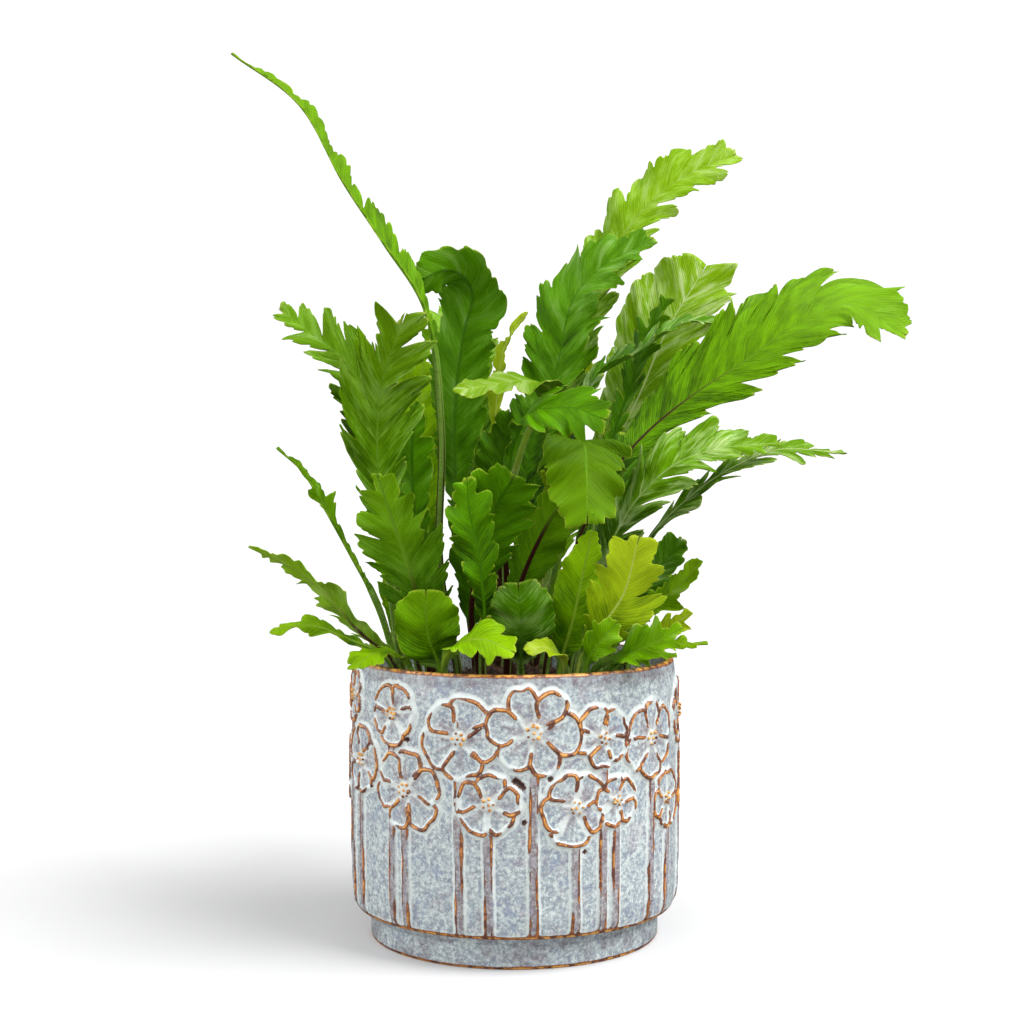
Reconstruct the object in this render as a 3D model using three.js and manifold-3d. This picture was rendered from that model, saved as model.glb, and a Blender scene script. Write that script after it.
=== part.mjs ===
// Potted bird's nest fern: glazed pot with raised flowers, potting soil, crown and fronds.
// Units are millimetres and +Z is up. The origin is the middle of the pot's flat base,
// and -Y is the side that the photograph shows.
import * as THREE from 'three';
import { mergeVertices } from 'three/addons/utils/BufferGeometryUtils.js';
import Module from 'manifold-3d';

// Driving dimensions of the pot
const POT_HEIGHT = 127.3;
const BODY_RADIUS = 75;
const LIP_RADIUS = 73.6;
const FOOT_RADIUS = 66.5;
const FOOT_HEIGHT = 14.6;
const INNER_RADIUS = 67.5;
const LIP_INNER_RADIUS = 69.4;
const FLOOR_THICKNESS = 8;
const FLOOR_ROUNDING = 5;
const FOOT_CHAMFER = 1;
const STEP_ROUNDING = 0.6;
const STEP_RISE = 1.4;
const BODY_LOWEST = 26;
const BODY_HIGHEST = 114;
const RIM_ROUNDING = 1.6;
const RIM_INNER_ROUNDING = 1;
const POT_SEGMENTS = 44;

// Raised flowers: each is azimuth in degrees to the right of the camera side, height, radius
const FLOWERS = [
  [-72.9, 112.5, 12.5], [-44.6, 108.6, 14], [-18.2, 100.3, 17], [6.2, 103.2, 20.3],
  [30.4, 99.4, 14], [52.6, 96.5, 18], [82, 104, 16], [110, 99.5, 19], [139, 105, 15.5],
  [167, 100, 18.5], [196, 103.5, 16], [225, 99, 19], [255, 103, 16.5],
  [-63.6, 85, 16], [-38.6, 76.2, 19], [-8.4, 72.9, 14.8], [20.4, 70.9, 16.4],
  [35.6, 72, 11.5], [63.6, 67.6, 14], [93, 72, 18], [122, 70, 15.5], [151, 73, 18],
  [180, 69.5, 16], [209, 72.5, 18], [238, 71, 15.5], [267, 76, 17.5],
];
const PETALS = 5;
const POINTS_PER_PETAL = 3;
const PETAL_NOTCH = 0.7;
const PETAL_ROUNDNESS = 0.5;
const PETAL_FACE_RADIUS = 77;
const EYE_HOLE_RADIUS = 2.6;
const EYE_RADIUS = 4.4;
const EYE_TAPER = 0.7;
const EYE_SIDES = 6;
const EYE_DEPTH = 3;
const EYE_FACE_RADIUS = 77.8;
const STALK_BAR_WIDTH = 3.2;
const STALK_BAR_RADIUS = 76.3;
const RELIEF_ROOT_RADIUS = 73;
const STALK_BAR_FOOT = 16.2;

// Soil and crown
const GAP = 0.35;
const SOIL_EDGE_HEIGHT = 112;
const SOIL_TOP_HEIGHT = 116;
const SOIL_SEGMENTS = 28;
// Shares of the soil's radius, each with its share of the rise from edge to middle
const SOIL_SLOPE = [[1, 0], [0.8, 0.5], [0.5, 0.85], [0, 1]];
const CROWN_RADII = [33, 27, 15];
const CROWN_CENTRE = [-2, 0, 108];
const CROWN_SEGMENTS = 14;
const CROWN_RINGS = 6;
const CROWN_BUMP = 1.2;
const CROWN_KNOBS_AROUND = 6;
const CROWN_KNOBS_UP = 7;

// Fronds
const ROOT_HEIGHT = 108.5;
const ROOT_PULL = 0.94;
const STALK_HALF_WIDTH = 1.7;
const STALK_TOP = 0.8;
const STALK_KEEL = 2.1;
const SHOULDER_SHARE = 0.6;
const FLANK_SHARE = 0.5;
const TIP_KEEL = 0.5;
const KEEL_TAPER = 1.25;
const MIDRIB_LIFT = 1.1;
const RUFFLE_OFFSET = 1.3;
const BLADE_THICKNESS = 0.95;
const TIP_HALF_WIDTH = 0.9;
const HOLE_CLEARANCE = 0.5;
const HOLE_DEPTH = 0.6;
const WIDTH_POWER = 0.85;
const END_OVERHANG = 0.35;
const END_ROUNDING = 1.15;
const LONGEST_END = 0.4;
const END_WIDTH_AT = 0.9;
const BLUNTEST_END = 0.2;
const LOBE_SHORTFALL = 0.16;
const TIP_AHEAD = 0.45;
const TIP_SWEEP_LOSS = 0.55;
const STATIONS_PER_LOBE = 2;
const CLEAR_OF_SOIL = 15;
const SHORTEST_STALK = 18;
const FROND_DEFAULTS = {
  tone: 'mid', half: 14, stalk: 0.25, widest: 0.6, blunt: 0.06, lobes: 6, cut: 0.25,
  sweep: 0.7, cup: 14, curl: 0.1, wave: 1.6, waves: 3, right: 1, left: 1, seed: 1,
};

// Each frond: midrib points above the soil, the way its upper face looks from root to tip, and
// its half width, bare stalk share, place of greatest width, lobes a side and their depth.
// Where right or left is given, that side of the blade is so many times as wide.
const FRONDS = [
  {
    name: 'frond_tall_narrow', tone: 'mid', seed: 1,
    path: [[-26, -16, 125], [-33, -26, 173], [-32, -32, 231], [-39, -36, 284], [-57, -35, 313],
      [-75, -34, 340], [-95, -30, 375], [-125, -26, 398]],
    faces: [[0.9, -0.4, 0.2], [0.5, -0.5, 0.7]],
    half: 10, stalk: 0.5, widest: 0.4, blunt: 0.02, lobes: 6, cut: 0.8, cup: 22, wave: 2, waves: 5,
    right: 0.3, sweep: 1.0,
  },
  {
    name: 'frond_dark_hook', tone: 'deep', seed: 2,
    path: [[-18, 6, 123], [-26, 10, 190], [-27, 8, 248], [-23, 4, 278],
      [-19, -5, 293], [-23, -15, 301], [-31, -22, 303], [-40, -26, 299]],
    faces: [[0.4, 0.9, 0], [0.4, 0.9, 0], [0.4, 0.9, 0], [0.4, 0.9, 0.1], [0.3, 0.8, 0.5]],
    half: 19, stalk: 0.32, widest: 0.62, blunt: 0.17, lobes: 8, cut: 0.23, cup: 10, wave: 1.2,
  },
  {
    name: 'frond_lime_ribbon', tone: 'lime', seed: 3,
    path: [[-5, 26, 120], [-8, 28, 189], [-8, 30, 247], [-4, 30, 273], [6, 30, 288]],
    faces: [[-0.6, -0.8, 0], [-0.7, -0.7, 0.2]],
    half: 6, stalk: 0.4, lobes: 6, cut: 0.29, cup: 20,
  },
  {
    name: 'frond_broad_centre', tone: 'deep', seed: 4,
    path: [[3, 4, 123], [6, 8, 213], [20, 12, 260], [28, 14, 293], [40, 12, 307], [62, 8, 319]],
    faces: [[-0.3, -0.95, 0.1], [-0.4, -0.7, 0.6]],
    half: 24, stalk: 0.34, widest: 0.6, blunt: 0.1, lobes: 9, cut: 0.41, wave: 2.2, waves: 5,
  },
  {
    name: 'frond_upper_right', tone: 'fresh', seed: 5,
    path: [[12, 22, 121], [22, 36, 213], [37, 46, 296], [54, 52, 328], [69, 54, 346],
      [86, 56, 358], [105, 56, 366]],
    faces: [[-0.5, -0.85, 0.2], [-0.4, -0.8, 0.5]],
    half: 21, stalk: 0.42, widest: 0.6, blunt: 0.2, lobes: 9, cut: 0.46, wave: 2, waves: 5,
  },
  {
    name: 'frond_lime_fan', tone: 'fresh', seed: 6,
    path: [[22, 24, 121], [45, 48, 213], [63, 56, 252], [76, 62, 282], [92, 69, 308]],
    faces: [[-0.5, -0.85, 0.3], [-0.3, -0.85, 0.4]],
    half: 29, stalk: 0.3, widest: 0.8, blunt: 0.24, lobes: 8, cut: 0.29, cup: 12, wave: 1.8, sweep: 0.9,
  },
  {
    name: 'frond_broad_right', tone: 'mid', seed: 7,
    path: [[14, -22, 124], [20, -34, 152], [29, -37, 184], [45, -24, 213],
      [60, -16, 230], [81, -12, 247], [104, -12, 262], [128, -13, 279], [152, -12, 288],
      [173, -16, 276]],
    faces: [[-0.5, -0.8, 0.4], [-0.4, -0.8, 0.5], [-0.4, -0.8, 0.5], [-0.2, -0.4, 0.9]],
    half: 29, stalk: 0.24, widest: 0.74, blunt: 0.06, lobes: 10, cut: 0.42, cup: 10, wave: 1.6, sweep: 0.8,
    right: 1.3,
  },
  {
    name: 'frond_glossy_right', tone: 'mid', seed: 8,
    path: [[29, -16, 126], [42, -34, 178], [55, -43, 202], [72, -46, 217],
      [91, -48, 223], [113, -50, 225]],
    faces: [[-0.5, -0.8, 0.4], [-0.1, -0.6, 0.8]],
    half: 21, stalk: 0.24, widest: 0.5, lobes: 8, cut: 0.6, cup: 12, wave: 2.2, waves: 4, sweep: 1.0,
  },
  {
    name: 'frond_outer_ribbon', tone: 'mid', seed: 9,
    path: [[39, -20, 128], [57, -34, 179], [79, -40, 203], [95, -42, 214], [114, -42, 222],
      [144, -40, 221]],
    faces: [[-0.3, -0.4, 0.9], [0, -0.35, 0.95]],
    half: 13, stalk: 0.34, widest: 0.6, lobes: 7, cut: 0.6, cup: 10, curl: 0.25, sweep: 1.2,
  },
  {
    name: 'frond_lime_lobed', tone: 'lime', seed: 10,
    path: [[29, -36, 128], [37, -50, 144], [47, -60, 161], [52, -64, 181]],
    faces: [[-0.4, -0.9, 0.4], [-0.1, -0.95, 0.3]],
    half: 18, stalk: 0.3, widest: 0.62, blunt: 0.28, lobes: 4, cut: 0.6, sweep: 0.5, cup: 8,
  },
  {
    name: 'frond_bright_pointed', tone: 'fresh', seed: 11,
    path: [[21, -30, 127], [26, -40, 148], [30, -44, 168], [34, -46, 187]],
    faces: [[-0.2, -1, 0.3], [-0.1, -1, 0.2]],
    half: 13, stalk: 0.2, widest: 0.45, blunt: 0.02, lobes: 5, cut: 0.26, cup: 12,
  },
  {
    name: 'frond_low_right_tip', tone: 'fresh', seed: 12,
    path: [[42, -8, 127], [62, -14, 150], [75, -18, 161], [84, -20, 172]],
    faces: [[-0.4, -0.8, 0.5], [-0.4, -0.8, 0.5]],
    half: 9, stalk: 0.3, lobes: 4, cut: 0.43,
  },
  {
    name: 'frond_dark_wavy_right', tone: 'deep', seed: 13,
    path: [[34, 4, 124], [53, 0, 151], [67, -2, 168], [76, -4, 180]],
    faces: [[-0.4, -0.9, 0.4], [-0.3, -0.8, 0.5]],
    half: 15, stalk: 0.25, blunt: 0.12, lobes: 5, cut: 0.49, wave: 2.5,
  },
  {
    name: 'frond_lying_right', tone: 'mid', seed: 14,
    path: [[35, -46, 127], [47, -61, 134], [58, -71, 140], [70, -76, 147]],
    faces: [[-0.2, -0.7, 0.7], [-0.1, -0.75, 0.65]],
    half: 12, stalk: 0.42, widest: 0.55, lobes: 4, cut: 0.43,
  },
  {
    name: 'frond_low_right_yellow', tone: 'lime', seed: 15,
    path: [[46, -24, 127], [60, -30, 136], [70, -34, 144], [78, -36, 150]],
    faces: [[-0.3, -0.75, 0.7], [-0.3, -0.75, 0.7]],
    half: 9, stalk: 0.3, lobes: 4, cut: 0.52,
  },
  {
    name: 'frond_low_right_thin', tone: 'fresh', seed: 16,
    path: [[46, -36, 127], [60, -42, 133.5], [71, -46, 137], [84, -48, 138]],
    faces: [[-0.2, -0.5, 0.85], [-0.1, -0.5, 0.85]],
    half: 5.5, stalk: 0.35, lobes: 4, cut: 0.6, blunt: 0.02,
  },
  {
    name: 'frond_crinkled_top', tone: 'mid', seed: 17,
    path: [[10, 0, 123], [20, 3, 172], [26, -4, 212], [29, -22, 226],
      [31, -42, 223], [31, -56, 212], [31, -62, 196]],
    faces: [[-0.05, 1, 0], [0, -0.3, 0.95], [0.1, -0.9, 0.4]],
    half: 21, stalk: 0.6, widest: 0.5, blunt: 0.36, lobes: 5, cut: 0.2, sweep: 0.8, cup: 4,
    curl: 0.1, wave: 3, waves: 4,
  },
  {
    name: 'frond_dark_arch', tone: 'deep', seed: 18,
    path: [[-2, -10, 124], [-4, -18, 172], [-3, -24, 212], [2, -33, 231],
      [8, -44, 239], [16, -52, 240], [26, -57, 240], [36, -61, 236]],
    faces: [[-0.3, 0.95, 0], [-0.3, 0.95, 0], [-0.3, 0.8, 0.4], [-0.2, -0.4, 0.9],
      [0, -0.95, 0.3]],
    half: 16.5, stalk: 0.6, widest: 0.55, blunt: 0.25, lobes: 6, cut: 0.35, cup: 6, wave: 2, sweep: 0.8,
  },
  {
    name: 'frond_pale_edge', tone: 'fresh', seed: 19,
    path: [[-7, 0, 123], [-4, -4, 190], [6, -10, 230], [16, -21, 246],
      [14, -35, 251], [2, -48, 252], [-10, -56, 250], [-24, -63, 247]],
    faces: [[0.3, 0.95, 0], [0.3, 0.95, 0], [0.2, 0.8, 0.5], [0, -0.1, 1],
      [0, -0.6, 0.8]],
    half: 11, stalk: 0.6, widest: 0.55, blunt: 0.1, lobes: 5, cut: 0.22, cup: 6,
  },
  {
    name: 'frond_dark_centre', tone: 'deep', seed: 20,
    path: [[-9, 8, 123], [-10, 16, 171], [-7, 19, 209], [-2, 21, 240]],
    faces: [[0, -1, 0], [-0.1, -1, 0.1]],
    half: 15, stalk: 0.35, blunt: 0.08, lobes: 6, cut: 0.29,
  },
  {
    name: 'frond_front_centre', tone: 'deep', seed: 21,
    path: [[-16, -22, 126], [-19, -34, 150], [-15, -44, 176], [-8, -52, 198], [-2, -62, 208]],
    faces: [[0.1, 1, 0], [0, 0.9, 0.4]],
    half: 21, stalk: 0.3, widest: 0.7, blunt: 0.2, lobes: 6, cut: 0.35, cup: 10, wave: 2,
  },
  {
    name: 'frond_rusty_rib', tone: 'mid', seed: 22,
    path: [[-3, -14, 125], [2, -22, 159], [11, -28, 182], [19, -32, 196], [26, -36, 203]],
    faces: [[0.3, 1, 0], [0.2, 1, 0.2]],
    half: 13, stalk: 0.3, lobes: 5, cut: 0.23,
  },
  {
    name: 'frond_small_left_centre', tone: 'deep', seed: 23,
    path: [[-14, -40, 128], [-13, -52, 151], [-15, -60, 175], [-19, -64, 196], [-20, -66, 208]],
    faces: [[0.2, -1, 0.2], [0.1, -1, 0.2]],
    half: 12, stalk: 0.3, widest: 0.7, blunt: 0.14, lobes: 6, cut: 0.5, wave: 2.6,
  },
  {
    name: 'frond_left_fan', tone: 'mid', seed: 24,
    path: [[-52, -6, 125], [-58, -10, 172], [-61, -12, 209], [-65, -14, 240], [-75, -16, 261],
      [-88, -18, 272], [-103, -20, 284]],
    faces: [[0.5, -0.85, 0], [0.3, -0.8, 0.6]],
    half: 19, stalk: 0.4, widest: 0.5, blunt: 0.16, lobes: 8, cut: 0.7, wave: 2, sweep: 1.1,
  },
  {
    name: 'frond_left_upright', tone: 'mid', seed: 25,
    path: [[-44, -12, 125], [-55, -22, 173], [-60, -32, 211], [-60, -36, 238],
      [-56, -42, 258], [-49, -48, 276]],
    faces: [[0.2, -1, 0], [0.1, -1, 0.2]],
    half: 22, stalk: 0.42, widest: 0.62, blunt: 0.34, lobes: 5, cut: 0.6, wave: 1.6, sweep: 1.0,
  },
  {
    name: 'frond_left_lobed', tone: 'mid', seed: 26,
    path: [[-36, -28, 127], [-42, -40, 156], [-47, -48, 175], [-53, -54, 194], [-58, -58, 210]],
    faces: [[0.2, 1, 0.1], [0.2, 0.95, 0.3]],
    half: 21, stalk: 0.14, widest: 0.5, blunt: 0.1, lobes: 7, cut: 0.42, cup: 10, sweep: 0.65,
  },
  {
    name: 'frond_thin_left', tone: 'mid', seed: 27,
    path: [[-54, -16, 127], [-61, -20, 152], [-73, -22, 175], [-86, -22, 198], [-95, -22, 213],
      [-106, -22, 223]],
    faces: [[0.7, -0.1, 0.7], [0.4, -0.4, 0.8]],
    half: 6.5, stalk: 0.4, lobes: 6, cut: 0.6, cup: 24, wave: 2, sweep: 1.0,
  },
  {
    name: 'frond_low_left_light', tone: 'fresh', seed: 28,
    path: [[-53, -28, 128], [-68, -34, 142], [-79, -38, 155], [-93, -40, 168], [-116, -42, 180]],
    faces: [[0.4, 0.5, 0.7], [0.2, 0.5, 0.8]],
    half: 12, stalk: 0.12, widest: 0.4, blunt: 0.02, lobes: 7, cut: 0.49, cup: 0,
  },
  {
    name: 'frond_lowest_left', tone: 'fresh', seed: 29,
    path: [[-58, 4, 125], [-76, 4, 134], [-90, 2, 140], [-100, 2, 141], [-113, 2, 138]],
    faces: [[0.3, -0.5, 0.85], [0.1, -0.6, 0.8]],
    half: 6, stalk: 0.3, lobes: 5, cut: 0.35,
  },
  {
    name: 'frond_round_front_left', tone: 'mid', seed: 30,
    path: [[-33, -42, 127], [-37, -50, 140], [-38, -54, 149], [-38, -56, 158]],
    faces: [[0, -1, 0.4], [0, -1, 0.3]],
    half: 16, stalk: 0.2, widest: 0.55, blunt: 0.36, lobes: 4, cut: 0.1, sweep: 0.5,
  },
  {
    name: 'frond_lime_face', tone: 'fresh', seed: 31,
    path: [[-30, -48, 127], [-28, -59, 136], [-21, -67, 141], [-12, -72, 142], [-2, -76, 138]],
    faces: [[0.5, -0.2, 0.8], [0.1, -0.85, 0.6]],
    half: 12, stalk: 0.4, widest: 0.6, blunt: 0.2, lobes: 4, cut: 0.49, sweep: 0.4, cup: 6,
  },
  {
    name: 'frond_rim_spill', tone: 'fresh', seed: 32,
    path: [[-46, -36, 127], [-54, -43, 133.5], [-61, -50, 134], [-68, -57, 129]],
    faces: [[0.3, 0.1, 1], [-0.4, -0.5, 0.8]],
    half: 10, stalk: 0.25, widest: 0.6, blunt: 0.2, lobes: 4, cut: 0.49, sweep: 0.5, cup: 6,
  },
  {
    name: 'frond_small_pale', tone: 'lime', seed: 33,
    path: [[23, -50, 127], [18, -58, 135], [12, -63, 138], [6, -67, 137]],
    faces: [[0.4, -0.4, 0.8], [-0.1, -0.6, 0.8]],
    half: 7, stalk: 0.3, blunt: 0.2, lobes: 4, cut: 0.23, sweep: 0.4,
  },
  {
    name: 'frond_dark_low_centre', tone: 'deep', seed: 34,
    path: [[3, -30, 126], [3, -40, 139], [3, -46, 150], [2, -49, 160]],
    faces: [[0, -1, 0.4], [0, -1, 0.3]],
    half: 18, stalk: 0.2, blunt: 0.36, lobes: 4, cut: 0.16, sweep: 0.5,
  },
  {
    name: 'frond_low_right_light', tone: 'mid', seed: 35,
    path: [[31, -52, 128], [34, -58, 136], [38, -63, 142], [43, -66, 148]],
    faces: [[-0.2, -0.9, 0.5], [-0.1, -0.9, 0.4]],
    half: 9, stalk: 0.2, blunt: 0.14, lobes: 4, cut: 0.38,
  },
  {
    name: 'frond_rim_right', tone: 'mid', seed: 36,
    path: [[41, -46, 127], [50, -54, 131.5], [59, -58, 134], [69, -60, 134]],
    faces: [[-0.2, -0.4, 0.9], [0, -0.4, 0.9]],
    half: 7, stalk: 0.25, lobes: 4, cut: 0.43,
  },
  {
    name: 'frond_back_left_mid', tone: 'fresh', seed: 37,
    path: [[-35, 16, 122], [-40, 22, 170], [-43, 26, 218], [-45, 28, 246], [-43, 30, 271]],
    faces: [[0.1, -1, 0], [0.2, -1, 0.2]],
    half: 15, stalk: 0.4, lobes: 6, cut: 0.41,
  },
  {
    name: 'frond_edge_right', tone: 'deep', seed: 38,
    path: [[16, 14, 123], [24, 22, 199], [37, 28, 254], [60, 32, 270], [83, 34, 284],
      [97, 32, 283]],
    faces: [[-0.9, -0.2, 0.3], [-0.3, -0.3, 0.9]],
    half: 12, stalk: 0.5, lobes: 7, cut: 0.6, cup: 20, sweep: 1.0,
  },
  {
    name: 'frond_dark_right_up', tone: 'deep', seed: 39,
    path: [[26, 14, 122], [43, 38, 213], [58, 50, 256], [65, 53, 278], [76, 54, 296]],
    faces: [[-0.5, -0.85, 0.2], [-0.4, -0.8, 0.5]],
    half: 10, stalk: 0.55, lobes: 5, cut: 0.6, blunt: 0.14, sweep: 1.0,
  },
  {
    name: 'frond_lime_back', tone: 'lime', seed: 40,
    path: [[11, 34, 120], [20, 42, 208], [30, 46, 251], [38, 48, 271]],
    faces: [[-0.2, -1, 0.1], [-0.2, -0.9, 0.4]],
    half: 13, stalk: 0.45, blunt: 0.14, lobes: 5, cut: 0.38,
  },
  {
    name: 'frond_dark_left_mid', tone: 'deep', seed: 41,
    path: [[-39, -2, 125], [-44, 0, 172], [-47, 2, 209], [-47, 2, 227], [-45, 4, 244]],
    faces: [[0.5, 0.9, 0], [0.3, 0.9, 0.2]],
    half: 11, stalk: 0.35, lobes: 5, cut: 0.29,
  },
  {
    name: 'frond_back_left_low', tone: 'deep', seed: 42,
    path: [[-34, 32, 119], [-42, 50, 165], [-50, 78, 205], [-54, 112, 226], [-52, 142, 222]],
    faces: [[0.3, -1, 0.2], [0.1, 0.2, 1]],
    half: 23, stalk: 0.25, lobes: 8, cut: 0.38, wave: 2,
  },
  {
    name: 'frond_back_long', tone: 'mid', seed: 43,
    path: [[-14, 38, 119], [-17, 62, 170], [-19, 92, 215], [-20, 132, 240], [-22, 168, 232]],
    faces: [[0, -1, 0.2], [0, 0.2, 1]],
    half: 26, stalk: 0.25, lobes: 9, cut: 0.35, wave: 2, waves: 5,
  },
  {
    name: 'frond_back_middle', tone: 'fresh', seed: 44,
    path: [[8, 42, 119], [14, 68, 158], [20, 100, 186], [26, 132, 192]],
    faces: [[0, -1, 0.3], [0.1, 0.1, 1]],
    half: 21, stalk: 0.2, lobes: 7, cut: 0.43,
  },
  {
    name: 'frond_back_right', tone: 'deep', seed: 45,
    path: [[30, 36, 119], [42, 60, 165], [54, 92, 205], [62, 128, 224], [66, 160, 214]],
    faces: [[-0.3, -1, 0.2], [-0.1, 0.2, 1]],
    half: 24, stalk: 0.25, lobes: 8, cut: 0.41, wave: 2,
  },
  {
    name: 'frond_back_low_right', tone: 'mid', seed: 46,
    path: [[44, 28, 119], [56, 46, 145], [66, 66, 158], [74, 84, 156]],
    faces: [[-0.5, -0.7, 0.5], [-0.2, -0.1, 1]],
    half: 15, stalk: 0.2, lobes: 5, cut: 0.43,
  },
  {
    name: 'frond_back_low_middle', tone: 'fresh', seed: 47,
    path: [[2, 58, 119], [2, 70, 138], [4, 88, 147], [6, 102, 142]],
    faces: [[0, -1, 0.5], [0, 0.2, 1]],
    half: 14, stalk: 0.2, lobes: 4, cut: 0.43, blunt: 0.16,
  },
  {
    name: 'frond_back_low_left', tone: 'lime', seed: 48,
    path: [[-28, 54, 119], [-34, 68, 135], [-42, 86, 141], [-48, 99, 136]],
    faces: [[0.4, -0.9, 0.5], [-0.1, 0.2, 1]],
    half: 14, stalk: 0.2, lobes: 4, cut: 0.49, blunt: 0.16,
  },
  {
    name: 'frond_back_rim_right', tone: 'fresh', seed: 49,
    path: [[28, 54, 119], [34, 68, 136], [40, 88, 143], [44, 102, 138]],
    faces: [[-0.3, -0.9, 0.5], [0.1, 0.2, 1]],
    half: 13, stalk: 0.2, lobes: 4, cut: 0.49, blunt: 0.16,
  },
  {
    name: 'frond_back_tall', tone: 'mid', seed: 50,
    path: [[-14, 18, 121], [-18, 30, 190], [-22, 46, 250], [-28, 66, 284], [-32, 90, 294]],
    faces: [[0.1, -1, 0.1], [0, -0.1, 1]],
    half: 21, stalk: 0.38, lobes: 7, cut: 0.38, wave: 2,
  },
  {
    name: 'frond_back_upright', tone: 'deep', seed: 51,
    path: [[2, 24, 121], [8, 46, 180], [16, 66, 228], [24, 92, 258], [28, 118, 262]],
    faces: [[-0.2, -1, 0.1], [-0.1, -0.1, 1]],
    half: 21, stalk: 0.3, lobes: 7, cut: 0.38, wave: 2,
  },
  {
    name: 'frond_back_broad_left', tone: 'mid', seed: 52,
    path: [[-42, 38, 119], [-47, 50, 145], [-49, 62, 170], [-50, 76, 186]],
    faces: [[0.5, -0.8, 0.2], [0.2, -0.4, 0.9]],
    half: 17, stalk: 0.22, widest: 0.6, blunt: 0.12, lobes: 5, cut: 0.36,
  },
  {
    name: 'frond_back_broad_middle', tone: 'deep', seed: 53,
    path: [[-12, 52, 119], [-14, 62, 145], [-14, 74, 170], [-13, 90, 184]],
    faces: [[0.1, -1, 0.2], [0, -0.4, 0.9]],
    half: 15, stalk: 0.22, widest: 0.6, blunt: 0.12, lobes: 5, cut: 0.36,
  },
  {
    name: 'frond_right_back', tone: 'mid', seed: 55,
    path: [[52, 8, 119], [57, 18, 142], [59, 26, 164], [60, 36, 182]],
    faces: [[-0.8, -0.4, 0.3], [-0.5, -0.3, 0.8]],
    half: 14, stalk: 0.25, widest: 0.6, lobes: 4, cut: 0.36,
  },
  {
    name: 'frond_left_back', tone: 'fresh', seed: 56,
    path: [[-54, 20, 119], [-58, 28, 140], [-60, 34, 160], [-62, 40, 176]],
    faces: [[0.8, -0.4, 0.3], [0.6, -0.4, 0.7]],
    half: 13, stalk: 0.35, widest: 0.6, lobes: 4, cut: 0.36,
  },
];

// Finishes
const FINISHES = {
  glaze: { color: 0x9fb0b8, roughness: 0.35, metalness: 0 },
  soil: { color: 0x33251c, roughness: 1, metalness: 0 },
  crown: { color: 0x4a3524, roughness: 0.9, metalness: 0 },
  deep: { color: 0x1f6b0d, roughness: 0.4, metalness: 0 },
  mid: { color: 0x3b8a17, roughness: 0.45, metalness: 0 },
  fresh: { color: 0x58a31c, roughness: 0.45, metalness: 0 },
  lime: { color: 0x93c62c, roughness: 0.5, metalness: 0 },
};

// Faces smaller than this are merged into their neighbours after a cut.
const TIDY_DISTANCE = 0.1;

const wasm = await Module();
wasm.setup();

// Solids and meshes

function solidOf(geometry) {
  const bare = geometry.clone();
  for (const extra of ['normal', 'uv']) bare.deleteAttribute(extra);
  const merged = mergeVertices(bare, 1e-4);
  const corners = merged.index.array;
  const kept = [];
  for (let i = 0; i < corners.length; i += 3) {
    const [a, b, c] = [corners[i], corners[i + 1], corners[i + 2]];
    if (a !== b && b !== c && c !== a) kept.push(a, b, c);
  }
  const vertProperties = new Float32Array(merged.attributes.position.array);
  const mesh = new wasm.Mesh({ numProp: 3, vertProperties, triVerts: new Uint32Array(kept) });
  return new wasm.Manifold(mesh);
}

function geometryOf(solid) {
  const { vertProperties, triVerts } = solid.getMesh();
  const geometry = new THREE.BufferGeometry();
  geometry.setAttribute('position', new THREE.BufferAttribute(new Float32Array(vertProperties), 3));
  geometry.setIndex(new THREE.BufferAttribute(new Uint32Array(triVerts), 1));
  geometry.computeVertexNormals();
  return geometry;
}

// A cut can leave loose crumbs and needless small faces, so the largest piece is kept, tidied.
function tidySolid(solid) {
  const pieces = solid.decompose();
  const largest = pieces.reduce((best, piece) => (piece.volume() > best.volume() ? piece : best));
  return largest.asOriginal().simplify(TIDY_DISTANCE);
}

function namedMesh(name, geometry, finish) {
  const mesh = new THREE.Mesh(geometry, new THREE.MeshStandardMaterial(FINISHES[finish]));
  mesh.name = name;
  return mesh;
}

function turnedSolid(profile, segments) {
  const points = profile.map(([radius, height]) => new THREE.Vector2(radius, height));
  const geometry = new THREE.LatheGeometry(points, segments);
  geometry.rotateX(Math.PI / 2);
  return solidOf(geometry);
}

// A repeatable draw between 0 and 1 for a seed and a step
function draw(seed, step) {
  const value = Math.sin(seed * 127.1 + step * 311.7) * 43758.5453;
  return value - Math.floor(value);
}

// Pot

// Turns a flat place, across and up the wall, into a point at a radius from the pot's axis.
function onWall(azimuth, height, across, up, radius) {
  const angle = THREE.MathUtils.degToRad(azimuth) + across / BODY_RADIUS;
  return new THREE.Vector3(Math.sin(angle) * radius, -Math.cos(angle) * radius, height + up);
}

function petalReach(turn) {
  return PETAL_NOTCH + (1 - PETAL_NOTCH) * Math.abs(Math.cos(turn * PETALS / 2)) ** PETAL_ROUNDNESS;
}

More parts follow.
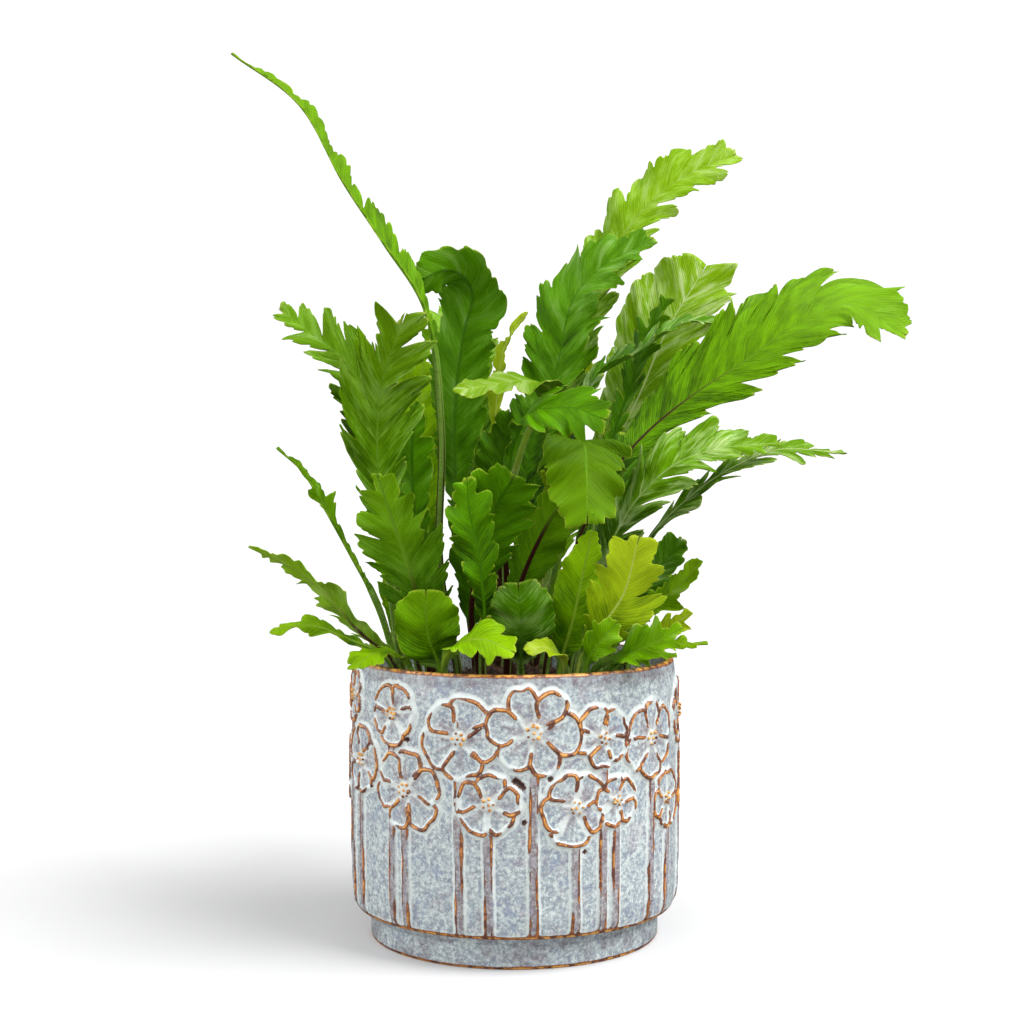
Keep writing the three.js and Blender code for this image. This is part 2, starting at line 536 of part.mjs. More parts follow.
function flowerSolid([azimuth, height, radius], index) {
  const outline = [];
  const lean = draw(index, 3) * Math.PI;
  for (let i = 0; i < PETALS * POINTS_PER_PETAL; i += 1) {
    const turn = (i / (PETALS * POINTS_PER_PETAL)) * 2 * Math.PI + Math.PI / PETALS;
    const reach = radius * petalReach(turn);
    outline.push(new THREE.Vector2(Math.cos(turn + lean) * reach, Math.sin(turn + lean) * reach));
  }
  const shape = new THREE.Shape(outline);
  const eyeHole = new THREE.Path();
  eyeHole.absarc(0, 0, EYE_HOLE_RADIUS, 0, 2 * Math.PI, true);
  shape.holes.push(eyeHole);
  const depth = PETAL_FACE_RADIUS - RELIEF_ROOT_RADIUS;
  const geometry = new THREE.ExtrudeGeometry(shape, { depth, bevelEnabled: false, curveSegments: 3 });
  bendOntoWall(geometry, azimuth, height);
  const eye = new THREE.CylinderGeometry(EYE_RADIUS, EYE_RADIUS * EYE_TAPER, EYE_DEPTH, EYE_SIDES);
  eye.translate(0, -(EYE_FACE_RADIUS - EYE_DEPTH / 2), height);
  eye.rotateZ(THREE.MathUtils.degToRad(azimuth));
  return solidOf(geometry).add(solidOf(eye));
}

function bendOntoWall(geometry, azimuth, height) {
  const places = geometry.attributes.position;
  for (let i = 0; i < places.count; i += 1) {
    const radius = RELIEF_ROOT_RADIUS + places.getZ(i);
    const point = onWall(azimuth, height, places.getX(i), places.getY(i), radius);
    places.setXYZ(i, point.x, point.y, point.z);
  }
}

function flowerStemSolid([azimuth, height]) {
  const length = height - STALK_BAR_FOOT;
  const depth = STALK_BAR_RADIUS - RELIEF_ROOT_RADIUS;
  const bar = new THREE.BoxGeometry(STALK_BAR_WIDTH, depth, length);
  bar.translate(0, -(RELIEF_ROOT_RADIUS + depth / 2), STALK_BAR_FOOT + length / 2);
  bar.rotateZ(THREE.MathUtils.degToRad(azimuth));
  return solidOf(bar);
}

function potSolid() {
  let solid = turnedSolid([
    [0, 0], [FOOT_RADIUS - FOOT_CHAMFER, 0], [FOOT_RADIUS, FOOT_CHAMFER],
    [FOOT_RADIUS, FOOT_HEIGHT - STEP_ROUNDING], [LIP_RADIUS - STEP_ROUNDING, FOOT_HEIGHT],
    [LIP_RADIUS, FOOT_HEIGHT + STEP_RISE], [BODY_RADIUS, BODY_LOWEST], [BODY_RADIUS, BODY_HIGHEST],
    [LIP_RADIUS, POT_HEIGHT - RIM_ROUNDING], [LIP_RADIUS - RIM_ROUNDING, POT_HEIGHT],
    [LIP_INNER_RADIUS + RIM_INNER_ROUNDING, POT_HEIGHT], [LIP_INNER_RADIUS, POT_HEIGHT - RIM_ROUNDING],
    [INNER_RADIUS, FLOOR_THICKNESS + FLOOR_ROUNDING],
    [INNER_RADIUS - FLOOR_ROUNDING, FLOOR_THICKNESS], [0, FLOOR_THICKNESS],
  ], POT_SEGMENTS);
  FLOWERS.forEach((flower, index) => {
    solid = solid.add(flowerStemSolid(flower)).add(flowerSolid(flower, index));
  });
  return tidySolid(solid);
}

// Soil and crown

function crownSolid(growth) {
  const geometry = new THREE.SphereGeometry(1, CROWN_SEGMENTS, CROWN_RINGS);
  const places = geometry.attributes.position;
  const scale = CROWN_RADII.map((radius) => radius + growth);
  for (let i = 0; i < places.count; i += 1) {
    const around = Math.atan2(places.getZ(i), places.getX(i));
    const bump = CROWN_BUMP * Math.sin(around * CROWN_KNOBS_AROUND)
      * Math.cos(places.getY(i) * CROWN_KNOBS_UP);
    places.setXYZ(
      i,
      CROWN_CENTRE[0] + places.getX(i) * (scale[0] + bump),
      CROWN_CENTRE[1] - places.getZ(i) * (scale[1] + bump),
      CROWN_CENTRE[2] + places.getY(i) * (scale[2] + bump),
    );
  }
  return solidOf(geometry);
}

function soilSolid() {
  const edge = INNER_RADIUS - GAP;
  const bottom = FLOOR_THICKNESS + GAP;
  const rise = SOIL_TOP_HEIGHT - SOIL_EDGE_HEIGHT;
  const slope = SOIL_SLOPE.map(([share, lift]) => [edge * share, SOIL_EDGE_HEIGHT + rise * lift]);
  const profile = [[0, bottom], [edge - FLOOR_ROUNDING, bottom], [edge, bottom + FLOOR_ROUNDING]];
  return turnedSolid([...profile, ...slope], SOIL_SEGMENTS);
}

// Fronds

class Frond {
  constructor(spec) {
    Object.assign(this, FROND_DEFAULTS, spec);
    const [x, y] = this.path[0];
    const root = new THREE.Vector3(x * ROOT_PULL, y * ROOT_PULL, ROOT_HEIGHT);
    const points = this.path.map((point) => new THREE.Vector3(...point));
    this.midrib = new THREE.CatmullRomCurve3([root, ...points], false, 'centripetal');
    this.length = this.midrib.getLength();
    this.stalk = Math.max(this.stalk, SHORTEST_STALK / this.length);
    this.faceWays = this.faces.map((way) => new THREE.Vector3(...way).normalize());
    this.widthShape = Math.log(0.5) / Math.log(this.widest * (1 - this.blunt));
  }

  // Place, forward direction, sideways direction and upper face direction on the midrib
  frameAt(share) {
    const u = THREE.MathUtils.clamp(share, 0, 1);
    const forward = this.midrib.getTangentAt(u);
    const place = this.midrib.getPointAt(u).addScaledVector(forward, (share - u) * this.length);
    const turns = this.faceWays.length - 1;
    const step = Math.min(turns - 1, Math.floor(u * turns));
    const turn = THREE.MathUtils.smoothstep(u * turns - step, 0, 1);
    const face = this.faceWays[step].clone().lerp(this.faceWays[step + 1], turn);
    face.addScaledVector(forward, -face.dot(forward)).normalize();
    return { place, forward, face, side: face.clone().cross(forward) };
  }

  // Shares of the stalk's sections: one at the root and one clear above the soil
  stalkShares() {
    return [0, Math.max(this.stalk / 2, CLEAR_OF_SOIL / this.length)];
  }

  bladeShare(x) {
    return this.stalk + (1 - this.stalk) * x;
  }

  halfWidthAt(x) {
    const along = THREE.MathUtils.clamp(x * (1 - this.blunt), 0, 1);
    const width = this.half * Math.sin(Math.PI * along ** this.widthShape) ** WIDTH_POWER;
    return Math.max(width, THREE.MathUtils.lerp(STALK_HALF_WIDTH, TIP_HALF_WIDTH, x));
  }

  // The blade's end is rounded off over about its own half width.
  endShareAt(x) {
    const blade = this.length * (1 - this.stalk);
    const apex = blade + END_OVERHANG * this.halfWidthAt(1);
    const from = apex - Math.min(END_ROUNDING * this.halfWidthAt(END_WIDTH_AT), LONGEST_END * blade);
    const end = Math.max(0, (x * blade - from) / (apex - from));
    return Math.max(BLUNTEST_END, Math.sqrt(1 - Math.min(1, end ** 2)));
  }

  // A point on the waved blade, sideways from the midrib along a vein and lifted off its surface
  pointAt(share, hand, distance, lift) {
    const x = THREE.MathUtils.clamp((share - this.stalk) / (1 - this.stalk), 0, 1);
    const sweep = this.sweep * (1 - TIP_SWEEP_LOSS * x ** 2);
    const frame = this.frameAt(share + (sweep * distance) / this.length);
    const spread = distance / this.half;
    const ruffle = Math.sin(2 * Math.PI * this.waves * share + hand * RUFFLE_OFFSET + this.seed);
    const slope = THREE.MathUtils.degToRad(this.cup);
    const rise = distance * Math.sin(slope) + spread ** 2 * (this.wave * ruffle - this.curl * this.half);
    const point = frame.place.addScaledVector(frame.side, hand * distance * Math.cos(slope));
    point.addScaledVector(frame.face, rise + lift * Math.cos(slope));
    return point.addScaledVector(frame.side, -hand * lift * Math.sin(slope));
  }

  // Each lobe has a notch and a forward tip, and the two sides are out of step.
  marginAt(station, hand) {
    const step = station + (hand > 0 ? 0 : 1);
    const lobe = Math.floor(step / STATIONS_PER_LOBE);
    const chance = draw(this.seed, lobe * 2 + (hand > 0 ? 0 : 1));
    if (step % STATIONS_PER_LOBE === 0) return { reach: 1 - this.cut * (0.5 + 0.5 * chance), ahead: 0 };
    return { reach: 1 - LOBE_SHORTFALL * chance, ahead: TIP_AHEAD };
  }

  keelAt(share) {
    return THREE.MathUtils.lerp(STALK_KEEL, TIP_KEEL, Math.min(1, share * KEEL_TAPER));
  }

  sectionAt(share, reaches, keel, edgeLift) {
    const [right, left] = reaches;
    const middle = this.frameAt(share);
    const top = middle.place.clone().addScaledVector(middle.face, edgeLift * MIDRIB_LIFT);
    const bottom = middle.place.clone().addScaledVector(middle.face, -keel);
    return [
      top, this.pointAt(left.share, -1, left.distance, edgeLift),
      this.pointAt(left.share, -1, left.distance, -edgeLift), bottom,
      this.pointAt(right.share, 1, right.distance, -edgeLift),
      this.pointAt(right.share, 1, right.distance, edgeLift),
    ];
  }

  stalkSections(growth) {
    return this.stalkShares().map((share) => {
      const { place, face, side } = this.frameAt(share);
      const at = (across, up) => place.clone().addScaledVector(side, across).addScaledVector(face, up);
      const half = STALK_HALF_WIDTH + growth;
      const top = STALK_TOP + growth;
      const keel = this.keelAt(share) + growth;
      return [
        at(0, top), at(-half, top * SHOULDER_SHARE), at(-half, -keel * FLANK_SHARE),
        at(0, -keel), at(half, -keel * FLANK_SHARE), at(half, top * SHOULDER_SHARE),
      ];
    });
  }

  bladeSections() {
    const last = this.lobes * STATIONS_PER_LOBE;
    const sections = [];
    for (let station = 0; station <= last; station += 1) {
      const reaches = [1, -1].map((hand) => {
        const { reach, ahead } = this.marginAt(station, hand);
        const x = Math.min(1, (station + ahead) / last);
        const side = hand > 0 ? this.right : this.left;
        const distance = Math.max(TIP_HALF_WIDTH, this.halfWidthAt(x) * reach * side * this.endShareAt(x));
        return { share: this.bladeShare(x), distance };
      });
      const share = this.bladeShare(station / last);
      sections.push(this.sectionAt(share, reaches, this.keelAt(share), BLADE_THICKNESS / 2));
    }
    return sections;
  }

  geometry() {
    return sweptGeometry([...this.stalkSections(0), ...this.bladeSections()]);
  }

  // The plain hole that the stalk stands in: its own two lower sections, grown and run deeper
  holeSolid() {
    const [root, above] = this.stalkSections(HOLE_CLEARANCE);
    root.forEach((point) => point.setZ(point.z - HOLE_DEPTH));
    return solidOf(sweptGeometry([root, above]));
  }
}

// Joins six-sided sections. Both faces of a blade are split along the same diagonals.
function sweptGeometry(sections) {
  const corners = [];
  const sides = sections[0].length;
  const splitTheOtherWay = [false, false, true, false, false, true];
  sections.forEach((section) => section.forEach((point) => corners.push(point.x, point.y, point.z)));
  const faces = [];
  for (let i = 0; i + 1 < sections.length; i += 1) {
    for (let k = 0; k < sides; k += 1) {
      const a = i * sides + k;
      const b = i * sides + ((k + 1) % sides);
      const c = b + sides;
      const d = a + sides;
      if (splitTheOtherWay[k]) faces.push(a, b, d, b, c, d);
      else faces.push(a, b, c, a, c, d);
    }
  }
  const end = (sections.length - 1) * sides;
  faces.push(0, 2, 1, 0, 3, 2, 0, 4, 3, 0, 5, 4);
  faces.push(end, end + 1, end + 2, end, end + 2, end + 3, end, end + 3, end + 4, end, end + 4, end + 5);
  const geometry = new THREE.BufferGeometry();
  geometry.setAttribute('position', new THREE.BufferAttribute(new Float32Array(corners), 3));
  geometry.setIndex(faces);
  geometry.computeVertexNormals();
  return geometry;
}

// The whole object

const fronds = FRONDS.map((spec) => new Frond(spec));
const holes = wasm.Manifold.union(fronds.map((frond) => frond.holeSolid()));
const soil = tidySolid(soilSolid().subtract(crownSolid(GAP)).subtract(holes));
const crown = tidySolid(crownSolid(0).subtract(holes));

const fern = new THREE.Group();
fern.add(namedMesh('pot', geometryOf(potSolid()), 'glaze'));
fern.add(namedMesh('potting_soil', geometryOf(soil), 'soil'));
fern.add(namedMesh('crown', geometryOf(crown), 'crown'));
fronds.forEach((frond) => fern.add(namedMesh(frond.name, frond.geometry(), frond.tone)));

export default fern;
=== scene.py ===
"""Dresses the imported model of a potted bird's nest fern with fine meshes and finishes.

Size fields are in millimetres, and meshes are made in metres in the model's own frame:
the origin is the middle of the pot's base, +Z is up and the photo's camera is on the -Y side.
"""
import logging
import math
from collections.abc import Sequence
from dataclasses import dataclass, field
from enum import Enum
from functools import reduce

import bpy
import numpy as np
from mathutils import Euler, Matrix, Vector


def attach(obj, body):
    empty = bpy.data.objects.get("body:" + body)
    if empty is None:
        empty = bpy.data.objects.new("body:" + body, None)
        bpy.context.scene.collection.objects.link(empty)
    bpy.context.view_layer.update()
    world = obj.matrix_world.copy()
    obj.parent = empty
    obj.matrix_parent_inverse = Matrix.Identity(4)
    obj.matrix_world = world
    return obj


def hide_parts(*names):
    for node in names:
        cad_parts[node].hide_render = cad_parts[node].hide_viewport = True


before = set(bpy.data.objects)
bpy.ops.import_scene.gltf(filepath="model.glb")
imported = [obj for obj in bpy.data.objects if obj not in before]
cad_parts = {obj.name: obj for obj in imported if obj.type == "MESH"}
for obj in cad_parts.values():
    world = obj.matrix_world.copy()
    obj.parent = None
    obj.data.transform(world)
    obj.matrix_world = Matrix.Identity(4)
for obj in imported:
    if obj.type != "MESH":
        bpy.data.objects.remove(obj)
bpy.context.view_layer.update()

logging.basicConfig(level=logging.INFO, format="%(message)s")
log = logging.getLogger("fern")

MM = 0.001
ROOT_BODY = "root"

Point = tuple[float, float, float]
Colour = tuple[float, float, float, float]
Socket = bpy.types.NodeSocket
Feed = Socket | float | tuple


class Tone(Enum):
    """The age of a frond, from mature dark green to new lime green, as a material slot."""

    DEEP = "leaf_deep"
    MID = "leaf_mid"
    FRESH = "leaf_fresh"
    LIME = "leaf_lime"


class Edge(Enum):
    """How a blade's lobes are cut.

    The numbers are the roundness of a lobe's back and of its front, the size of its teeth, how far
    it leans forward, the gap between lobes as a share of a lobe, and how much deeper than the solid
    the notches go.
    """

    ROUNDED = (1.9, 1.9, 0.8, 0.2, 0.04, 1.3)
    CLAWED = (1.6, 1.15, 1.1, 0.5, 0.05, 1.6)
    FINGERED = (2.6, 2.1, 0.9, 0.35, 0.14, 1.8)
    ENTIRE = (1.7, 1.6, 0.35, 0.1, 0.0, 0.5)


def smooth(value: np.ndarray, low: float, high: float) -> np.ndarray:
    """Eases from 0 at low to 1 at high."""
    t = np.clip((value - low) / (high - low), 0.0, 1.0)
    return t * t * (3.0 - 2.0 * t)


def ripple(places: np.ndarray, size: float, seed: int, waves: int = 14) -> np.ndarray:
    """A smooth uneven field between about -1 and 1.

    Args:
        places: Points, with the coordinates in the last axis.
        size: Rough distance from one bump to the next, in the points' own unit.
        seed: Picks one of many fields.
        waves: How many plain waves are added up.

    Returns:
        The field's value at each point.
    """
    rng = np.random.default_rng(seed)
    total = np.zeros(places.shape[:-1])
    for _ in range(waves):
        way = rng.normal(size=places.shape[-1])
        way *= 2.0 * math.pi / (size * rng.uniform(0.7, 1.8) * np.linalg.norm(way))
        total += np.sin(places @ way + rng.uniform(0.0, 2.0 * math.pi))
    return total / waves**0.5


class Shape:
    """Gathers corners, faces and per-corner fields, and turns them into one object."""

    def __init__(self) -> None:
        """Starts with nothing in it."""
        self.corners: list[np.ndarray] = []
        self.faces: list[np.ndarray] = []
        self.fields: dict[str, list[np.ndarray]] = {}
        self.count = 0

    def add(self, corners: np.ndarray, faces: Sequence[np.ndarray], **fields: np.ndarray) -> None:
        """Adds a part.

        Args:
            corners: N by 3 places in millimetres.
            faces: Arrays of corner numbers, each N by 3 or N by 4.
            **fields: A vector for each corner, under the field's name.
        """
        self.corners.append(corners)
        self.faces += [face + self.count for face in faces]
        for name, values in fields.items():
            self.fields.setdefault(name, []).append(values)
        self.count += len(corners)

    def build(self, name: str) -> bpy.types.Object:
        """Makes the object.

        Args:
            name: The new object's name.

        Returns:
            The object, linked to the scene and smoothly shaded.
        """
        mesh = bpy.data.meshes.new(name)
        corners = np.concatenate(self.corners) * MM
        mesh.vertices.add(len(corners))
        mesh.vertices.foreach_set("co", corners.astype(np.float32).ravel())
        loops = np.concatenate([face.ravel() for face in self.faces]).astype(np.int32)
        sizes = np.concatenate([np.full(len(face), face.shape[1]) for face in self.faces])
        mesh.loops.add(len(loops))
        mesh.loops.foreach_set("vertex_index", loops)
        mesh.polygons.add(len(sizes))
        starts = np.concatenate([[0], np.cumsum(sizes)[:-1]]).astype(np.int32)
        mesh.polygons.foreach_set("loop_start", starts)
        mesh.polygons.foreach_set("use_smooth", np.ones(len(sizes), bool))
        for field_name, values in self.fields.items():
            attribute = mesh.attributes.new(field_name, "FLOAT_VECTOR", "POINT")
            attribute.data.foreach_set("vector", np.concatenate(values).astype(np.float32).ravel())
        mesh.update(calc_edges=True)
        mesh.validate()
        made = bpy.data.objects.new(name, mesh)
        bpy.context.scene.collection.objects.link(made)
        return made


def grid_faces(rows: int, columns: int, closed: bool) -> np.ndarray:
    """Corner numbers of the four-sided faces of a grid.

    Args:
        rows: Rows of corners.
        columns: Corners in a row.
        closed: True if each row is a ring.

    Returns:
        An N by 4 array.
    """
    across = np.arange(columns if closed else columns - 1)
    row = np.arange(rows - 1)[:, None] * columns
    a = row + across
    b = row + (across + 1) % columns
    return np.stack([a, b, b + columns, a + columns], -1).reshape(-1, 4)


def ring_turns(count: int) -> np.ndarray:
    """Directions in radians of the corners of a ring."""
    return np.arange(count) * 2.0 * math.pi / count


def fan(ring: np.ndarray, centre: int, flip: bool = False) -> np.ndarray:
    """Triangles from each side of a ring of corner numbers to one corner, turned over if flipped."""
    after = np.roll(ring, -1)
    first, second = (after, ring) if flip else (ring, after)
    return np.stack([first, second, np.full(len(ring), centre)], -1)


def capped(rings: np.ndarray, centres: Sequence) -> tuple[np.ndarray, list[np.ndarray]]:
    """A closed skin through rings of corners, with a centre below the first and above the last.

    Args:
        rings: Rings by columns of places, from the lowest ring up.
        centres: The places of the lower and the upper centre.

    Returns:
        All corners, and the arrays of faces between them.
    """
    count, columns = rings.shape[:2]
    low = count * columns
    corners = np.concatenate([rings.reshape(-1, 3), centres])
    i = np.arange(columns)
    lid, floor = fan(low - columns + i, low + 1), fan(i, low, flip=True)
    return corners, [grid_faces(count, columns, closed=True), lid, floor]


def place(piece: bpy.types.Object, finish: bpy.types.Material, slot: str, *nodes: str) -> None:
    """Dresses a piece, rides it on the root body, hides the model's nodes that it replaces and logs its
    triangles.

    Args:
        piece: The object.
        finish: Its material.
        slot: The record's material slot; not used.
        *nodes: The nodes of the model that it replaces.
    """
    piece.data.materials.append(finish)
    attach(piece, ROOT_BODY)
    if nodes:
        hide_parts(*nodes)
    triangles = sum(len(face.vertices) - 2 for face in piece.data.polygons)
    log.info("%s: %d triangles", piece.name, triangles)


# Shader building


class Wiring:
    """Adds and joins the nodes of one shader tree."""

    def __init__(self, tree: bpy.types.NodeTree) -> None:
        """Works on the given tree."""
        self.tree = tree

    def node(self, kind: str, feeds: dict | None = None, **settings: object) -> bpy.types.Node:
        """Adds a node.

        Args:
            kind: The node's type without its ShaderNode prefix.
            feeds: What goes into each input, by name or number: a socket, a number or a colour.
            **settings: The node's own settings.

        Returns:
            The new node.
        """
        made = self.tree.nodes.new("ShaderNode" + kind)
        for name, value in settings.items():
            setattr(made, name, value)
        for name, value in (feeds or {}).items():
            if isinstance(value, bpy.types.NodeSocket):
                self.tree.links.new(value, made.inputs[name])
            else:
                made.inputs[name].default_value = value
        return made

    def group(self, tree: bpy.types.NodeTree, feeds: dict) -> bpy.types.Node:
        """Places a node group and gives its inputs their values.

        Args:
            tree: The group.
            feeds: What goes into each input, by name.

        Returns:
            The group node.
        """
        made = self.tree.nodes.new("ShaderNodeGroup")
        made.node_tree = tree
        for name, value in feeds.items():
            made.inputs[name].default_value = value
        return made

    def link(self, group: dict[str, Socket], ends: "dict | bpy.types.bpy_prop_collection") -> None:
        """Joins each socket to the one of the same name among the ends."""
        for name, socket in group.items():
            self.tree.links.new(socket, ends[name])

    def math(self, operation: str, first: Feed, second: Feed = 0.0) -> Socket:
        """One sum, by the name of Blender's math operation."""
        return self.node("Math", {0: first, 1: second}, operation=operation).outputs[0]

    def times(self, first: Feed, second: Feed) -> Socket:
        """The product of two numbers."""
        return self.math("MULTIPLY", first, second)

    def plus(self, *values: Feed) -> Socket:
        """The sum of two or more numbers."""
        return reduce(lambda first, second: self.math("ADD", first, second), values)

    def blend(self, share: Feed, first: Feed, second: Feed, most: float = 1.0) -> Socket:
        """Mixes two colours, from the first at 0 to the given most of the second at 1."""
        feeds = {0: share if most == 1.0 else self.times(share, most), 6: first, 7: second}
        return self.node("Mix", feeds, data_type="RGBA").outputs[2]

    def choose(self, share: Feed, first: Feed, second: Feed) -> Socket:
        """A number between two others, the first at 0 and the second at 1."""
        return self.node("Mix", {0: share, 2: first, 3: second}, data_type="FLOAT").outputs[0]

    def ease(self, value: Feed, low: float, high: float, most: float = 1.0) -> Socket:
        """Eases a value from 0 at low to most at high, or the other way where low is above high."""
        span = {"Value": value, "From Min": low, "From Max": high, "To Max": most}
        return self.node("MapRange", span, interpolation_type="SMOOTHSTEP").outputs["Result"]

    def noise(self, place: Feed, scale: Feed, detail: float = 3.0, rough: float = 0.55) -> Socket:
        """Blender's noise, from about 0.2 to 0.8."""
        feeds = {"Vector": place, "Scale": scale, "Detail": detail, "Roughness": rough}
        return self.node("TexNoise", feeds).outputs["Fac"]

    def uneven(self, place: Feed, scale: float, detail: float, size: float) -> Socket:
        """Noise about zero, of the given size."""
        return self.times(self.plus(self.noise(place, scale, detail), -0.5), size)

    def field(self, name: str) -> tuple[Socket, ...]:
        """The three numbers of a mesh's vector field."""
        return self.parts(self.node("Attribute", attribute_name=name).outputs["Vector"])

    def parts(self, vector: Feed) -> tuple[Socket, ...]:
        """A vector's three numbers."""
        return tuple(self.node("SeparateXYZ", {0: vector}).outputs)

    def scaled(self, x: Feed, across: Feed, sizes: tuple[float, float], z: Feed) -> Socket:
        """A vector from two numbers that are stretched by the given sizes, and a third."""
        feeds = {0: self.times(x, sizes[0]), 1: self.times(across, sizes[1]), 2: z}
        return self.node("CombineXYZ", feeds).outputs[0]

    def place(self) -> Socket:
        """The place on the object, in metres."""
        return self.node("TexCoord").outputs["Object"]

    def clamped(self, value: Feed) -> Socket:
        """A number kept from 0 to 1."""
        return self.node("Clamp", {0: value}).outputs[0]

    def bump(self, height: Feed, distance: float, strength: float) -> Socket:
        """A bumped normal from a height between 0 and 1 that stands for a distance in metres."""
        feeds = {"Height": height, "Distance": distance, "Strength": strength}
        return self.node("Bump", feeds).outputs["Normal"]

    def mottled(self, mottle: bpy.types.NodeTree, *values: float) -> Socket:
        """The mask of the patch group with its input values in their order."""
        names = ("Patch Scale", "Speckle Scale", "Speckle Share", "Contrast")
        return self.group(mottle, dict(zip(names, values))).outputs["Mask"]


def new_group(name: str, inputs: dict[str, Feed], outputs: dict[str, str]) -> tuple[Wiring, dict, dict]:
    """Starts a shader node group.

    Args:
        name: The group's name.
        inputs: Each input's name with its usual value: a number, or a colour.
        outputs: Each output's name with "Float" or "Color".

    Returns:
        The group's wiring, its input sockets by name, and the output node's sockets by name.
    """
    tree = bpy.data.node_groups.new(name, "ShaderNodeTree")
    for label, usual in inputs.items():
        kind = "Color" if isinstance(usual, tuple) else "Float"
        made = tree.interface.new_socket(label, in_out="INPUT", socket_type="NodeSocket" + kind)
        made.default_value = usual
    for label, kind in outputs.items():
        tree.interface.new_socket(label, in_out="OUTPUT", socket_type="NodeSocket" + kind)
    entry = tree.nodes.new("NodeGroupInput")
    leave = tree.nodes.new("NodeGroupOutput")
    return Wiring(tree), dict(entry.outputs.items()), dict(leave.inputs.items())


def new_material(name: str, **constants: object) -> tuple[bpy.types.Material, Wiring, bpy.types.Node]:
    """Starts a material with one Principled shader.

    Args:
        name: The material's name.
        **constants: Values for the shader's own sockets, with _ for a space in a socket's name.

    Returns:
        The material, its wiring, and the shader.
    """
    made = bpy.data.materials.new(name)
    made.use_nodes = True
    shader = made.node_tree.nodes["Principled BSDF"]
    for label, value in constants.items():
        shader.inputs[label.replace("_", " ")].default_value = value
    return made, Wiring(made.node_tree), shader


def rgb(red: float, green: float, blue: float) -> Colour:
    """A screen colour, 0 to 255 a channel, as the linear colour that shaders take."""
    shares = [channel / 255 for channel in (red, green, blue)]
    linear = [((c + 0.055) / 1.055) ** 2.4 if c > 10 / 255 else c / 12.92 for c in shares]
    return (*linear, 1.0)


# Effects that several finishes share


def mottle_group() -> bpy.types.NodeTree:
    """Patches of two sizes with fine speckle, used by the glaze, the soil, the crown and the leaves.

    Returns:
        The node group.
    """
    wire, takes, gives = new_group(
        "Mottle",
        {"Patch Scale": 40.0, "Speckle Scale": 400.0, "Speckle Share": 0.4, "Contrast": 1.0},
        {"Mask": "Float"},
    )
    where = wire.place()
    patches = wire.noise(where, takes["Patch Scale"], 5.0, 0.6)
    speckle = wire.noise(where, takes["Speckle Scale"], 4.0, 0.65)
    patch_share = wire.math("SUBTRACT", 1.0, takes["Speckle Share"])
    mixed = wire.plus(wire.times(patches, patch_share), wire.times(speckle, takes["Speckle Share"]))
    spread = wire.times(takes["Contrast"], 2.5)
    mask = wire.clamped(wire.plus(wire.times(wire.plus(mixed, -0.5), spread), 0.5))
    wire.link({"Mask": mask}, gives)
    return wire.tree


# The blade's pattern: how fast the veins come and how far they wander, and the scales of three
# kinds of streaks along and across the midrib, for each millimetre
VEIN_TURN = 4.7
VEIN_WANDER = 9.0
STREAK_SIZES = (0.9, 0.09)
BROAD_SIZES = (0.13, 0.09)
FINE_SIZES = (2.2, 0.1)


